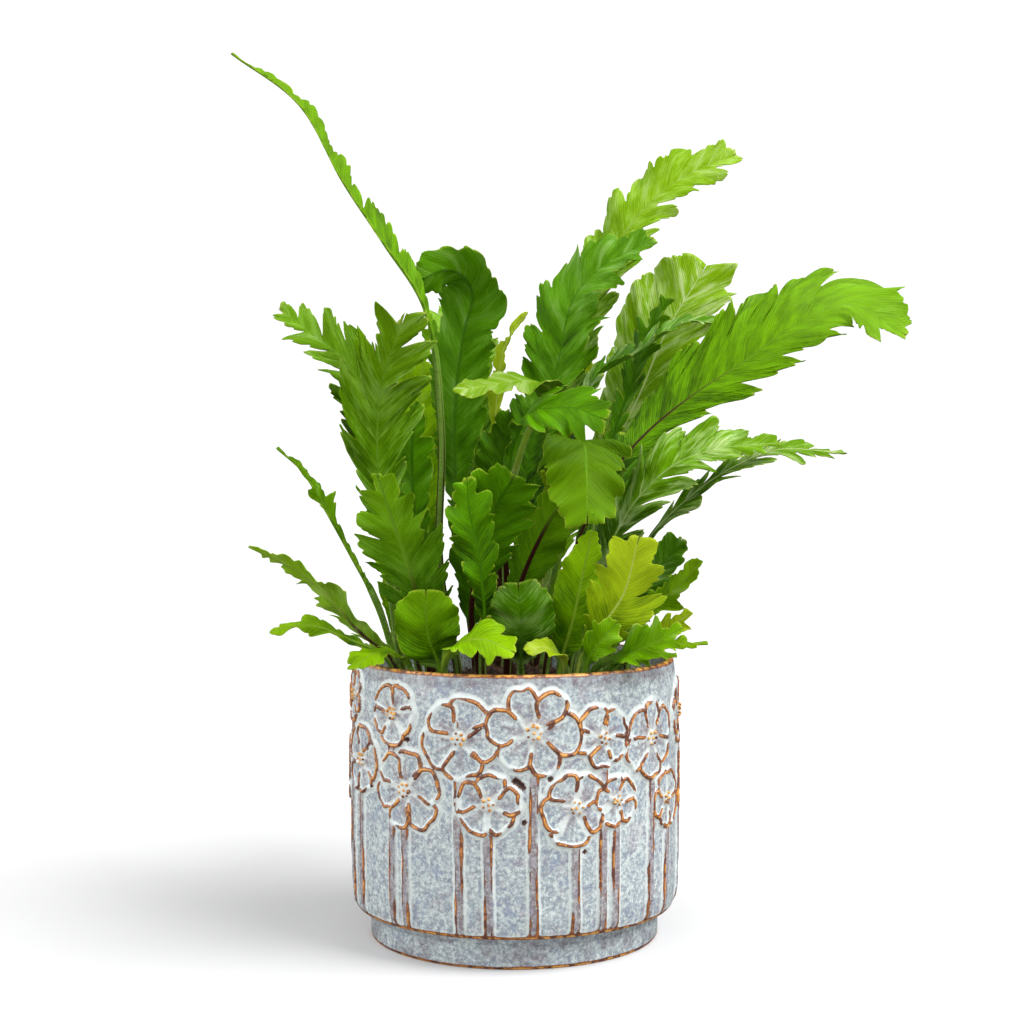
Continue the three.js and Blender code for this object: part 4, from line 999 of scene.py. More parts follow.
@dataclass
class Pot:
    """The glazed pot: foot, step, wall with raised flowers, rim and inside."""

    body_radius: float = 75.0
    step_height: float = 15.5
    columns: int = 640
    coarse: int = 4
    stem_foot: float = 16.4
    flower_floor: float = 50.0
    flower_ceiling: float = 124.6
    flowers: list[Flower] = field(default_factory=list)
    pits: tuple[Point, ...] = ()

    # Radius, height and distance from a crest of the plain rings, from the underside to the floor
    underside = ((0.4, 1.3, NO_CREST), (30.0, 1.3, NO_CREST), (56.0, 1.3, NO_CREST), (58.5, 0.0, 2.0))
    foot = (
        (65.2, 0.0, 1.0), (65.95, 0.25, 0.1), (66.4, 0.9, 0.3), (66.5, 1.9, 1.3), (66.5, 5.0, NO_CREST),
        (66.4, 9.5, NO_CREST), (66.5, 13.0, NO_CREST), (67.0, 13.9, 2.0), (68.1, 14.3, 2.0),
        (72.0, 14.6, 1.6), (72.9, 14.9, 0.5), (73.4, 15.5, 0.1),
    )
    lip = (
        (73.7, 125.5, 1.4), (73.55, 126.3, 0.5), (73.1, 126.95, 0.1), (72.3, 127.25, 0.1),
        (71.2, 127.3, 0.3), (70.3, 127.05, 0.8), (69.7, 126.4, 1.4), (69.4, 125.2, 3.0),
    )
    inside = (
        (68.9, 121.0), (68.3, 117.0), (67.6, 111.0), (67.5, 60.0), (67.5, 13.0), (66.1, 9.5),
        (62.5, 8.0), (30.0, 8.0), (0.4, 8.0),
    )
    wall_foot = 16.2
    stem_rings = 15
    flower_rings = 104
    wobble = 0.18
    bead_rise = 1.35
    wall_heights = (15.0, 24.0, 40.0, 100.0, 116.0, 127.0)
    wall_radii = (73.5, 74.7, 75.0, 75.0, 74.6, 73.7)

    def rings(self) -> tuple[np.ndarray, np.ndarray]:
        """Heights of the wall's rings and the wall's plain radius at each."""
        low = np.linspace(self.wall_foot, self.flower_floor, self.stem_rings)[:-1]
        high = np.linspace(self.flower_floor, self.flower_ceiling, self.flower_rings)
        heights = np.concatenate([low, high])
        return heights, np.interp(heights, self.wall_heights, self.wall_radii)

    def relief(self, heights: np.ndarray) -> Relief:
        """Paints the stems, then the blossoms, then the pits.

        Args:
            heights: The heights of the wall's rings.

        Returns:
            The finished relief.
        """
        azimuths = np.arange(self.columns) * 360.0 / self.columns
        relief = Relief(azimuths, heights, self.body_radius)
        for flower in self.flowers:
            flower.paint_stem(relief, self.stem_foot)
        for flower in sorted(self.flowers, key=lambda flower: flower.height):
            flower.paint(relief)
        for azimuth, height, size in self.pits:
            relief.prick(azimuth, height, size)
        return relief

    @staticmethod
    def ring_points(radius: np.ndarray, height: np.ndarray) -> np.ndarray:
        """Places at the given radii and heights, one for each column."""
        turn = ring_turns(len(radius))
        return np.stack([np.sin(turn) * radius, -np.cos(turn) * radius, height], -1)

    def build(self) -> bpy.types.Object:
        """Makes the pot's closed mesh with its relief and flaw fields.

        Returns:
            The pot without a material.
        """
        heights, plain = self.rings()
        relief = self.relief(heights)
        rings, fields = [], []

        def ring(
            radius: np.ndarray | float, height: float, *values: np.ndarray | float, count: int = self.columns,
        ) -> None:
            """Adds a ring with its crest distance, mauve, pooling and pits, each zero if not given."""
            given = [radius, height, *values, *[0.0] * (4 - len(values))]
            full = [np.broadcast_to(np.asarray(value, float), (count,)) for value in given]
            rings.append(self.ring_points(full[0], full[1]))
            fields.append(np.stack(full[2:], -1))

        few = self.columns // self.coarse
        circle = self.ring_points(np.ones(self.columns), np.zeros(self.columns))
        wobble = self.wobble * ripple(circle, 1.2, 5)
        for radius, height, crest in self.underside:
            ring(radius, height, crest, count=few)
        for radius, height, crest in self.foot:
            ring(radius + wobble * min(1.0, height), height, crest + 0.5 * wobble)
        for row, (height, radius) in enumerate(zip(heights, plain)):
            from_step = abs(height - self.step_height)
            crest = np.minimum(relief.crest[row], from_step)
            pool = np.maximum(relief.pool[row], 0.6 * smooth(from_step, 2.2, 0.9))
            ring(radius + wobble + relief.rise[row], height, crest, relief.mauve[row], pool, relief.pit[row])
        for radius, height, crest in self.lip:
            ring(radius + wobble, height, crest)
        for radius, height in self.inside:
            ring(radius, height, NO_CREST, count=few)
        return self.stitched(rings, fields)

    @staticmethod
    def stitched(rings: list[np.ndarray], fields: list[np.ndarray]) -> bpy.types.Object:
        """Joins rings of equal or differing corner counts into one closed mesh.

        Args:
            rings: The corners of each ring, from the underside round to the inside floor.
            fields: Crest distance, mauve, pooling and pits on each ring.

        Returns:
            The object.
        """
        starts = np.concatenate([[0], np.cumsum([len(ring) for ring in rings])])
        quads, triangles = [], []
        for step in range(len(rings) - 1):
            n, m = len(rings[step]), len(rings[step + 1])
            first, second = starts[step], starts[step + 1]
            if n == m:
                i = np.arange(n)
                j = (i + 1) % n
                quads.append(np.stack([first + i, first + j, second + j, second + i], -1))
                continue
            few, many, few_at, many_at = (n, m, first, second) if n < m else (m, n, second, first)
            ratio = many // few
            for k in range(ratio):
                i = np.arange(few)
                f = few_at + (i if k < ratio // 2 else (i + 1) % few)
                a = many_at + i * ratio + k
                b = many_at + (i * ratio + k + 1) % many
                triangles.append(np.stack([f, b, a] if n < m else [f, a, b], -1))
            i = np.arange(few)
            middle = many_at + i * ratio + ratio // 2
            before, after = few_at + i, few_at + (i + 1) % few
            triangles.append(np.stack([before, after, middle] if n < m else [before, middle, after], -1))
        count = starts[-1]
        ends = [
            fan(np.arange(len(rings[0])), count, flip=True),
            fan(starts[-2] + np.arange(len(rings[-1])), count + 1),
        ]
        corners = np.concatenate([*rings, rings[0].mean(0)[None], rings[-1].mean(0)[None]])
        values = np.concatenate([*fields, fields[0][:1], fields[-1][:1]])
        faces = [np.concatenate(quads), np.concatenate(triangles), *ends]
        shape = Shape()
        shape.add(corners, faces, relief=values[:, :3], flaw=np.repeat(values[:, 3:], 3, axis=1))
        return shape.build("pot_glazed")

    def build_beads(self) -> bpy.types.Object:
        """Makes the beads at the blossoms' eyes.

        Returns:
            One object that holds them all.
        """
        ball = IcoBall(1)
        shape = Shape()
        for flower in self.flowers:
            for across, up, size in flower.beads():
                turn = math.radians(flower.azimuth) + across / self.body_radius
                out = self.body_radius + self.bead_rise
                centre = np.array([math.sin(turn) * out, -math.cos(turn) * out, flower.height + up])
                corners = ball.corners * size + centre
                crest = np.zeros((len(corners), 3))
                crest[:, 0] = -0.2
                shape.add(corners, [ball.faces], relief=crest, flaw=np.zeros(crest.shape))
        return shape.build("pot_flower_beads")

    def dress(self, glaze: bpy.types.Material) -> None:
        """Builds the pot and its beads, glazes them and puts them in place."""
        place(self.build(), glaze, "glaze", "pot")
        place(self.build_beads(), glaze, "glaze")


class IcoBall:
    """A ball of small triangles, as corners and faces."""

    def __init__(self, rounds: int) -> None:
        """Splits an icosahedron's faces the given number of times."""
        gold = (1.0 + 5.0**0.5) / 2.0
        corners = [(-1, gold, 0), (1, gold, 0), (-1, -gold, 0), (1, -gold, 0), (0, -1, gold), (0, 1, gold)]
        corners += [(0, -1, -gold), (0, 1, -gold), (gold, 0, -1), (gold, 0, 1), (-gold, 0, -1), (-gold, 0, 1)]
        faces = [(0, 11, 5), (0, 5, 1), (0, 1, 7), (0, 7, 10), (0, 10, 11), (1, 5, 9), (5, 11, 4)]
        faces += [(11, 10, 2), (10, 7, 6), (7, 1, 8), (3, 9, 4), (3, 4, 2), (3, 2, 6), (3, 6, 8)]
        faces += [(3, 8, 9), (4, 9, 5), (2, 4, 11), (6, 2, 10), (8, 6, 7), (9, 8, 1)]
        places = [np.array(corner, float) / np.linalg.norm(corner) for corner in corners]
        for _ in range(rounds):
            middles: dict[tuple[int, int], int] = {}
            finer = []
            for a, b, c in faces:
                ab, bc, ca = (self.middle(places, middles, *pair) for pair in ((a, b), (b, c), (c, a)))
                finer += [(a, ab, ca), (b, bc, ab), (c, ca, bc), (ab, bc, ca)]
            faces = finer
        self.corners = np.array(places)
        self.faces = np.array(faces)

    @staticmethod
    def middle(places: list[np.ndarray], middles: dict[tuple[int, int], int], a: int, b: int) -> int:
        """The number of the corner half way between two others, made when first asked for."""
        key = (min(a, b), max(a, b))
        if key not in middles:
            point = places[a] + places[b]
            places.append(point / np.linalg.norm(point))
            middles[key] = len(places) - 1
        return middles[key]


def flower_list() -> list[Flower]:
    """The blossoms' places on the wall: azimuth to the right of the camera side, height, radius."""
    upper = [
        (-72.9, 112.5, 12.5), (-44.6, 108.6, 14), (-18.2, 100.3, 17), (6.2, 103.2, 20.3),
        (30.4, 99.4, 14), (52.6, 96.5, 18), (82, 104, 16), (110, 99.5, 19), (139, 105, 15.5),
        (167, 100, 18.5), (196, 103.5, 16), (225, 99, 19), (255, 103, 16.5),
    ]
    lower = [
        (-63.6, 85, 16), (-38.6, 76.2, 19), (-8.4, 72.9, 14.8), (20.4, 70.9, 16.4),
        (35.6, 72, 11.5), (63.6, 67.6, 14), (93, 72, 18), (122, 70, 15.5), (151, 73, 18),
        (180, 69.5, 16), (209, 72.5, 18), (238, 71, 15.5), (267, 76, 17.5),
    ]
    return [Flower(*sizes, seed, 6 if sizes[2] > 17.5 else 5) for seed, sizes in enumerate(upper + lower)]


# Fronds


class Midrib:
    """A smooth curve through a frond's points, measured along its own length."""

    SPAN_STEPS = 60

    def __init__(self, points: np.ndarray) -> None:
        """Draws the curve.

        Args:
            points: The root and the places that the midrib passes through.
        """
        padded = np.vstack([2.0 * points[0] - points[1], points, 2.0 * points[-1] - points[-2]])
        t = np.linspace(0.0, 1.0, self.SPAN_STEPS, endpoint=False)[:, None]
        places, ways = [], []
        for before, start, end, after in zip(padded, padded[1:], padded[2:], padded[3:]):
            gaps = [np.linalg.norm(b - a) ** 0.5 for a, b in ((before, start), (start, end), (end, after))]
            step = (end - start) / gaps[1]
            leave = (start - before) / gaps[0] - (end - before) / (gaps[0] + gaps[1]) + step
            arrive = step - (after - start) / (gaps[1] + gaps[2]) + (after - end) / gaps[2]
            leave, arrive = leave * gaps[1], arrive * gaps[1]
            square = -3.0 * start + 3.0 * end - 2.0 * leave - arrive
            cube = 2.0 * start - 2.0 * end + leave + arrive
            places.append(start + leave * t + square * t**2 + cube * t**3)
            ways.append(leave + 2.0 * square * t + 3.0 * cube * t**2)
        last_way = leave + 2.0 * square + 3.0 * cube
        self.places = np.vstack([*places, points[-1]])
        self.ways = np.vstack([*ways, last_way])
        self.ways /= np.linalg.norm(self.ways, axis=1, keepdims=True)
        steps = np.linalg.norm(np.diff(self.places, axis=0), axis=1)
        self.run = np.concatenate([[0.0], np.cumsum(steps)])
        self.length = float(self.run[-1])

    def at(self, share: np.ndarray) -> tuple[np.ndarray, np.ndarray]:
        """Places and forward directions at shares of the length, carried straight on past its ends."""
        inside = np.clip(share, 0.0, 1.0)
        run = inside * self.length
        place, way = (
            np.stack([np.interp(run, self.run, values[:, k]) for k in range(3)], -1)
            for values in (self.places, self.ways)
        )
        way /= np.linalg.norm(way, axis=-1, keepdims=True)
        return place + way * ((share - inside) * self.length)[..., None], way


def draw(seed: int, step: int) -> float:
    """A repeatable draw between 0 and 1."""
    value = math.sin(seed * 127.1 + step * 311.7) * 43758.5453
    return value - math.floor(value)


@dataclass
class Frond:
    """One frond: a bare stalk and a lobed, waved blade along a midrib.

    Attributes:
        name: Its node's name without the frond_ before it.
        tone: Its age.
        seed: Picks its own unevenness.
        path: Places that the midrib passes through after the root.
        faces: Directions of the upper side, evenly spaced from root to tip.
        half: Greatest half width of the blade.
        stalk: Share of the midrib that is bare.
        widest: Share of the blade where it is widest.
        blunt: How much of the narrowing end is left out.
        lobes: Lobes on a side.
        cut: How deep the notches go, as a share of the half width.
        sweep: How far the veins lean forward.
        cup: How far both sides rise from the midrib, in degrees.
        curl: How far the margins turn down again.
        wave: Height of the margin's plain waves.
        waves: How many of them there are.
        edges: How the right and the left side are cut.
        right: The right side's width as a share of the left side's.
        dark_rib: Share of the frond where the midrib's dark stretch ends.
        frill: How far the lobes curl in turn.
        gloss: How waxy it is: the strength of its coat and of its painted sheen.
        crease: How strongly it is puckered and crinkled.
        shade: How much lighter its root and its tip are, added to the painted shade of the folds: partly its
            own tone and partly painted light and shade.
    """

    name: str
    tone: Tone
    seed: int
    path: list[Point]
    faces: list[Point]
    half: float = 21.0
    stalk: float = 0.3
    widest: float = 0.6
    blunt: float = 0.06
    lobes: int = 4
    cut: float = 0.6
    sweep: float = 0.7
    cup: float = 14.0
    curl: float = 0.1
    wave: float = 1.6
    waves: float = 3.0
    edges: tuple[Edge, Edge] = (Edge.ROUNDED, Edge.CLAWED)
    right: float = 1.0
    dark_rib: float = 0.35
    frill: float = 4.2
    gloss: float = 0.0
    crease: float = 1.0
    shade: tuple[float, float] = (0.0, 0.0)

    # Mesh: rows along the margin and the stalk, corners across a side, points along an arc
    row_step = 1.0
    fewest_rows = 24
    stalk_step = 3.5
    columns = 7
    arc_step = 0.4

    # Root, stalk and tip
    root_height = 108.5
    root_pull = 0.94
    stalk_half = 1.6
    shortest_stalk = 18.0
    tip_half = 0.9
    apex_half = 0.35

    # Outline
    width_power = 0.85
    lobe_shortfall = 0.16
    tip_ahead = 0.45
    tip_sweep_loss = 0.55
    end_overhang = 0.35
    end_rounding = 1.15
    longest_end = 0.4
    bluntest_end = 0.2
    narrowest_notch = 0.12
    slit_spacing = 4.5
    slit_width = 0.75
    deepest_slit = 2.6

    # Bumps, and how far the veins and their pattern slant from the midrib
    lobe_wave = 19.0
    pucker_size = 11.0
    crinkle_size = 7.0
    vein_slant = 0.45
    fan_slant = 0.65

    # Thickness: the blade, the ridges of the midrib above and beneath, the stalk above and beneath
    blade_thickness = 0.56
    ridge_half = 0.55
    keel_depths = (1.785, 0.425)
    keel_reach = 0.8
    stalk_rises = (0.75, 2.0)
    dark_fade = 0.22

    def __post_init__(self) -> None:
        """Draws the midrib and the blade's outline sizes."""
        x, y, _ = self.path[0]
        root = (x * self.root_pull, y * self.root_pull, self.root_height)
        self.midrib = Midrib(np.array([root, *self.path], float))
        self.length = self.midrib.length
        self.stalk = max(self.stalk, self.shortest_stalk / self.length)
        self.blade = self.length * (1.0 - self.stalk)
        self.face_ways = np.array(self.faces, float)
        self.face_ways /= np.linalg.norm(self.face_ways, axis=1, keepdims=True)
        self.width_shape = math.log(0.5) / math.log(self.widest * (1.0 - self.blunt))

    def frame_at(self, share: np.ndarray) -> tuple[np.ndarray, np.ndarray, np.ndarray]:
        """Place, sideways direction and upper face direction at shares of the midrib."""
        place, forward = self.midrib.at(share)
        spans = len(self.face_ways) - 1
        scaled = np.clip(share, 0.0, 1.0) * spans
        step = np.minimum(spans - 1, np.floor(scaled)).astype(int)
        turn = smooth(scaled - step, 0.0, 1.0)[..., None]
        face = self.face_ways[step] * (1.0 - turn) + self.face_ways[step + 1] * turn
        face = face - forward * np.sum(face * forward, axis=-1, keepdims=True)
        face /= np.linalg.norm(face, axis=-1, keepdims=True)
        return place, np.cross(face, forward), face

    def half_width_at(self, x: float) -> float:
        """The outline's half width at a share of the blade."""
        along = min(1.0, max(0.0, x * (1.0 - self.blunt)))
        width = self.half * math.sin(math.pi * along**self.width_shape) ** self.width_power
        return max(width, 1.7 + (self.tip_half - 1.7) * x)

    def point_at(
        self, share: np.ndarray, hand: int, distance: np.ndarray, lift: np.ndarray, extra: np.ndarray,
    ) -> np.ndarray:
        """Places on the waved blade, sideways from the midrib along a vein.

        Args:
            share: Share of the midrib where the vein starts.
            hand: 1 or -1 for the side.
            distance: How far along the vein.
            lift: How far off the blade's middle layer.
            extra: A further rise of the middle layer.

        Returns:
            The places.
        """
        x = np.clip((share - self.stalk) / (1.0 - self.stalk), 0.0, 1.0)
        sweep = self.sweep * (1.0 - self.tip_sweep_loss * x**2)
        place, side, face = self.frame_at(share + sweep * distance / self.length)
        spread = distance / self.half
        ruffle = np.sin(2.0 * math.pi * self.waves * share + hand * 1.3 + self.seed)
        slope = math.radians(self.cup)
        rise = distance * math.sin(slope) + spread**2 * (self.wave * ruffle - self.curl * self.half) + extra
        out = hand * (distance * math.cos(slope) - lift * math.sin(slope))
        return place + side * out[..., None] + face * (rise + lift * math.cos(slope))[..., None]

    def margin_stations(self, hand: int) -> list[tuple[float, float]]:
        """Each notch and lobe tip as a share of the blade and a distance, the same as the solid's."""
        last = 2 * self.lobes
        stations = []
        for station in range(last + 1):
            step = station + (0 if hand > 0 else 1)
            chance = draw(self.seed, (step // 2) * 2 + (0 if hand > 0 else 1))
            notch = step % 2 == 0
            reach = 1.0 - self.cut * (0.5 + 0.5 * chance) if notch else 1.0 - self.lobe_shortfall * chance
            x = min(1.0, (station + (0.0 if notch else self.tip_ahead)) / last)
            stations.append((x, max(self.tip_half, self.half_width_at(x) * reach)))
        return stations

    def margin(self, hand: int) -> np.ndarray:
        """The blade's cut edge on one side.

        Args:
            hand: 1 or -1 for the side.

        Returns:
            Points as millimetres along the blade and along a vein.
        """
        back, front, teeth, lean, gap, deepen = self.edges[hand < 0].value
        rng = np.random.default_rng(self.seed * 2 + (hand > 0))
        corners = self.margin_corners(hand, deepen)
        runs, reaches = [], []
        for (x0, d0), (x1, d1) in zip(corners, corners[1:]):
            size = math.hypot(x1 - x0, d1 - d0)
            quarter = np.linspace(0.0, math.pi / 2.0, max(9, int(size / self.arc_step)))
            share = quarter / (math.pi / 2.0)
            rising = d1 > d0
            power = 2.0 / (back if rising else front)
            spare = gap * (x1 - x0)
            if rising:
                run = x0 + spare + (x1 - x0 - spare) * (1.0 - np.cos(quarter) ** power)
                reach = d0 + (d1 - d0) * np.sin(quarter) ** power
            else:
                run = x0 + (x1 - x0 - spare) * np.sin(quarter) ** power
                reach = d1 + (d0 - d1) * np.cos(quarter) ** power
            run = run + lean * (reach - min(d0, d1))
            for _ in range(int(size / self.slit_spacing * teeth + rng.uniform(0.0, 1.0))):
                middle = rng.uniform(0.35, 0.97) if rising else rng.uniform(0.03, 0.5)
                depth = rng.uniform(0.3, 1.0) * min(self.deepest_slit, 0.2 * size)
                reach = reach - depth * np.exp(-(((share - middle) * size / self.slit_width) ** 2))
            runs.append(run[:-1])
            reaches.append(reach[:-1])
        run = np.concatenate([*runs, [corners[-1][0]]])
        reach = np.concatenate([*reaches, [self.apex_half]])
        curve = np.stack([run, reach], -1)
        uneven = 0.06 * self.half**0.5 * ripple(curve, 6.0, self.seed + 7)
        curve[:, 1] = np.maximum(reach + uneven * smooth(reach, 2.0, 6.0), self.apex_half)
        return curve

    def margin_corners(self, hand: int, deepen: float) -> list[tuple[float, float]]:
        """The notches and lobe tips of one side, cut deeper than the solid's and rounded at the end.

        Args:
            hand: 1 or -1 for the side.
            deepen: How much deeper the notches go.

        Returns:
            Millimetres along the blade and along a vein, from the stalk to the apex.
        """
        apex = self.blade + self.end_overhang * self.half_width_at(1.0)
        end_size = min(self.end_rounding * self.half_width_at(0.9), self.longest_end * self.blade)
        side = self.right if hand > 0 else 1.0
        corners = [(0.0, self.stalk_half)]
        for x, reach in self.margin_stations(hand):
            outline = self.half_width_at(x)
            if reach < outline * (1.0 - self.lobe_shortfall):
                reach = max(self.narrowest_notch * outline, outline - (outline - reach) * deepen)
            end = max(0.0, (x * self.blade - apex + end_size) / end_size)
            reach *= side * max(self.bluntest_end, math.sqrt(1.0 - min(1.0, end**2)))
            corners.append((x * self.blade, max(self.tip_half, reach)))
        return [*corners, (apex, self.apex_half)]

    def lobe_curl(self, hand: int, along: np.ndarray) -> np.ndarray:
        """How far each lobe curls up or down, eased from one lobe to the next.

        Args:
            hand: 1 or -1 for the side.
            along: Millimetres along the midrib.

        Returns:
            A share between about -1 and 1 at each place.
        """
        rng = np.random.default_rng(self.seed * 11 + (hand > 0))
        stations = np.array(self.margin_stations(hand))[:, 0]
        middles = self.stalk * self.length + stations * self.blade
        start = rng.uniform(0.0, 6.3)
        turns = np.cos(np.arange(len(middles)) * 1.9 + start) * rng.uniform(0.5, 1.1, len(middles))
        fine = np.linspace(middles[0], middles[-1], 12 * len(middles))
        window = np.hanning(11)
        eased = np.convolve(np.interp(fine, middles, turns), window / window.sum(), mode="same")
        return np.interp(along, fine, eased)

    @staticmethod
    def spaced(curve: np.ndarray, count: int) -> np.ndarray:
        """Places a number of points evenly along a curve."""
        run = np.concatenate([[0.0], np.cumsum(np.linalg.norm(np.diff(curve, axis=0), axis=1))])
        even = np.linspace(0.0, run[-1], count)
        return np.stack([np.interp(even, run, curve[:, k]) for k in range(2)], -1)

    def columns_at(self, reach: np.ndarray) -> np.ndarray:
        """Distances from the midrib of each row's corners, out to the margin.

        Args:
            reach: Each row's margin distance.

        Returns:
            Rows by columns of distances.
        """
        inner = np.minimum(1.5, 0.5 * reach)
        outer = np.maximum(reach - 0.7, inner + 0.6 * (reach - inner))
        share = np.linspace(0.0, 1.0, self.columns - 3)[1:]
        middle = inner[:, None] + (outer - inner)[:, None] * share
        return np.column_stack([inner * 0.0, inner * 0.5, inner, middle, reach])

    def half_sheet(self, hand: int, share: np.ndarray, margin: np.ndarray) -> dict[str, np.ndarray]:
        """The upper and lower corners on one side of the midrib, with their fields.

        Args:
            hand: 1 or -1 for the side.
            share: Each row's share of the midrib.
            margin: Each row's margin, as a share of the midrib and a distance.

        Returns:
            Upper and lower corners and the fields that leaf_place, leaf_state and leaf_form take,
            each in rows by columns. The state of the lower side is under its own name.
        """
        distance = self.columns_at(margin[:, 1])
        part = distance / margin[:, 1:2]
        shares = share[:, None] + (margin[:, :1] - share[:, None]) * part**1.4
        blade = smooth(shares, self.stalk * 0.92, self.stalk + 9.0 / self.length)
        reach_share = np.clip(shares, 0.0, 1.0)
        along = shares * self.length
        spread = distance / self.half
        fan_out = self.fan_slant * (0.15 + reach_share**2) * distance
        vein = along - self.vein_slant * distance

        def uneven(run: np.ndarray, squeeze: float, size: float, stream: int) -> np.ndarray:
            """A field of bumps of the given size along a run, drawn out across the blade."""
            return ripple(np.stack([run, distance * squeeze], -1), size, self.seed * stream + hand)

        lobe_field = uneven(along, 0.5, self.lobe_wave, 3)
        crinkle = self.crease * uneven(vein, 0.25, self.crinkle_size, 5)
        pucker = self.crease * uneven(vein, 0.6, self.pucker_size, 7)
        creases = 0.9 * pucker + (0.2 + 0.45 * np.clip(spread, 0.0, 1.0)) * crinkle
        extra = spread**1.5 * (2.0 * lobe_field + self.frill * self.lobe_curl(hand, along))
        extra += creases * np.clip(spread * 2.5, 0.0, 1.0)
        extra *= blade * (self.half / 16.0) ** 0.5
        # Painted shade of the folds: low in the hollows of the puckers, crinkles and lobes, high as painted
        # light on their crests, moved along the frond by its shade
        fold_shade = 0.45 * pucker + 0.18 * crinkle + 0.45 * lobe_field * spread
        fold_shade += np.interp(reach_share, (self.stalk, 1.0), self.shade)
        top, bottom = self.thickness(distance, part, blade, reach_share)
        zero = np.zeros_like(distance)
        inward = margin[:, 1:2] - distance + 3.0 * (1.0 - blade)
        state = np.stack([zero, self.rib_strength(reach_share), reach_share], -1)
        return {
            "top": self.point_at(shares, hand, distance, top, extra),
            "bottom": self.point_at(shares, hand, distance, -bottom, extra),
            "place": np.stack([along - fan_out, distance, inward], -1),
            "state": state,
            "under": state + np.array([1.0, 0.0, 0.0]),
            "form": np.stack([zero + self.gloss, 1.0 - blade, fold_shade], -1),
        }

    def thickness(
        self, distance: np.ndarray, part: np.ndarray, blade: np.ndarray, share: np.ndarray,
    ) -> tuple[np.ndarray, np.ndarray]:
        """How far the upper and the lower side lie off the middle layer.

        Args:
            distance: Distance from the midrib.
            part: The same as a share of the way to the margin.
            blade: 0 on the bare stalk and 1 on the blade.
            share: Share of the midrib.

        Returns:
            The upper side's and the lower side's distance.
        """
        skin = 0.5 * self.blade_thickness * (1.0 - 0.55 * part**3)
        ridge = 0.3 * (1.1 - share) * np.exp(-((distance / self.ridge_half) ** 2))
        keel_half = self.ridge_half + 0.75 * (1.0 - share)
        keel = np.interp(share, (0.0, self.keel_reach), self.keel_depths)
        keel = keel * np.exp(-((distance / keel_half) ** 2))
        above, beneath = self.stalk_rises
        top = blade * (skin + ridge) + (1.0 - blade) * above * np.sqrt(1.0 - 0.85 * part**2)
        bottom = blade * (skin + keel) + (1.0 - blade) * beneath * np.sqrt(1.0 - 0.9 * part**2)
        return top, bottom

    def rib_strength(self, share: np.ndarray) -> np.ndarray:
        """How dark the midrib is: dark low down, gone by the share of the frond given by dark_rib."""
        return smooth(share, self.dark_rib, self.dark_rib - self.dark_fade)

    def rows(self) -> tuple[np.ndarray, dict[int, np.ndarray]]:
        """Each row's share of the midrib, and its margin on both sides."""
        margins = {hand: self.margin(hand) for hand in (1, -1)}
        lengths = [np.linalg.norm(np.diff(curve, axis=0), axis=1).sum() for curve in margins.values()]
        count = max(self.fewest_rows, int(max(lengths) / self.row_step))
        stalk_count = max(5, int(self.stalk * self.length / self.stalk_step))
        stalk_share = np.linspace(0.0, self.stalk, stalk_count, endpoint=False)
        share = np.concatenate([stalk_share, np.linspace(self.stalk, 1.0, count)])
        bare = np.stack([stalk_share, np.full(stalk_count, self.stalk_half)], -1)
        sides = {}
        for hand, curve in margins.items():
            even = self.spaced(curve, count)
            even[:, 0] = self.stalk + even[:, 0] / self.length
            sides[hand] = np.concatenate([bare, even])
        return share, sides

    def build(self) -> bpy.types.Object:
        """Makes the frond's closed mesh with its leaf fields.

        Returns:
            The frond without a material.
        """
        share, sides = self.rows()
        right, left = (self.half_sheet(hand, share, sides[hand]) for hand in (1, -1))

        def ring(over: str, beneath: str) -> np.ndarray:
            """Rows of closed rings of a value: over the frond from left to right, and back beneath."""
            top = np.concatenate([left[over][:, ::-1], right[over][:, 1:]], 1)
            bottom = np.concatenate([right[beneath][:, ::-1], left[beneath][:, 1:]], 1)
            return np.concatenate([top, bottom], 1)

        corners = ring("top", "bottom")
        rows, around = corners.shape[:2]
        quads = grid_faces(rows, around, closed=True)
        half = around // 2
        j = np.arange(half - 1)
        root = np.stack([j + 1, j, around - 1 - j, around - 2 - j], -1)
        tip = np.stack([j, j + 1, around - 2 - j, around - 1 - j], -1) + (rows - 1) * around
        shape = Shape()
        shape.add(
            corners.reshape(-1, 3), [quads, root, tip],
            leaf_place=ring("place", "place").reshape(-1, 3),
            leaf_state=ring("state", "under").reshape(-1, 3),
            leaf_form=ring("form", "form").reshape(-1, 3),
        )
        return shape.build("leaf_" + self.name)

    def dress(self, finishes: dict[Tone, bpy.types.Material]) -> None:
        """Builds the frond, dresses it for its age and puts it in place of its solid."""
        place(self.build(), finishes[self.tone], self.tone.value, "frond_" + self.name)


SOIL_FINISH = EarthFinish("potting_mix", rgb(20, 13, 9), rgb(88, 64, 46), 90.0, 900.0, 0.0006)
CROWN_FINISH = EarthFinish("rhizome", rgb(40, 24, 14), rgb(132, 92, 56), 120.0, 1200.0, 0.0004)

# Pits in the glaze: azimuth in degrees, height and size
PITS = (
    (0.4, 82.8, 1.5), (1.3, 82.0, 1.4), (2.2, 80.9, 1.4), (2.9, 79.8, 1.0), (11.7, 83.5, 1.2),
    (3.2, 65.2, 1.1), (-37.7, 97.9, 1.1), (-56, 74.7, 0.8), (-36.9, 75.4, 0.9), (23.6, 51.5, 0.9),
    (-11.3, 49.4, 0.6), (-22.4, 48.8, 0.6), (100.0, 60.0, 1.0), (160.0, 84.0, 0.9), (215.0, 58.0, 1.1),
)

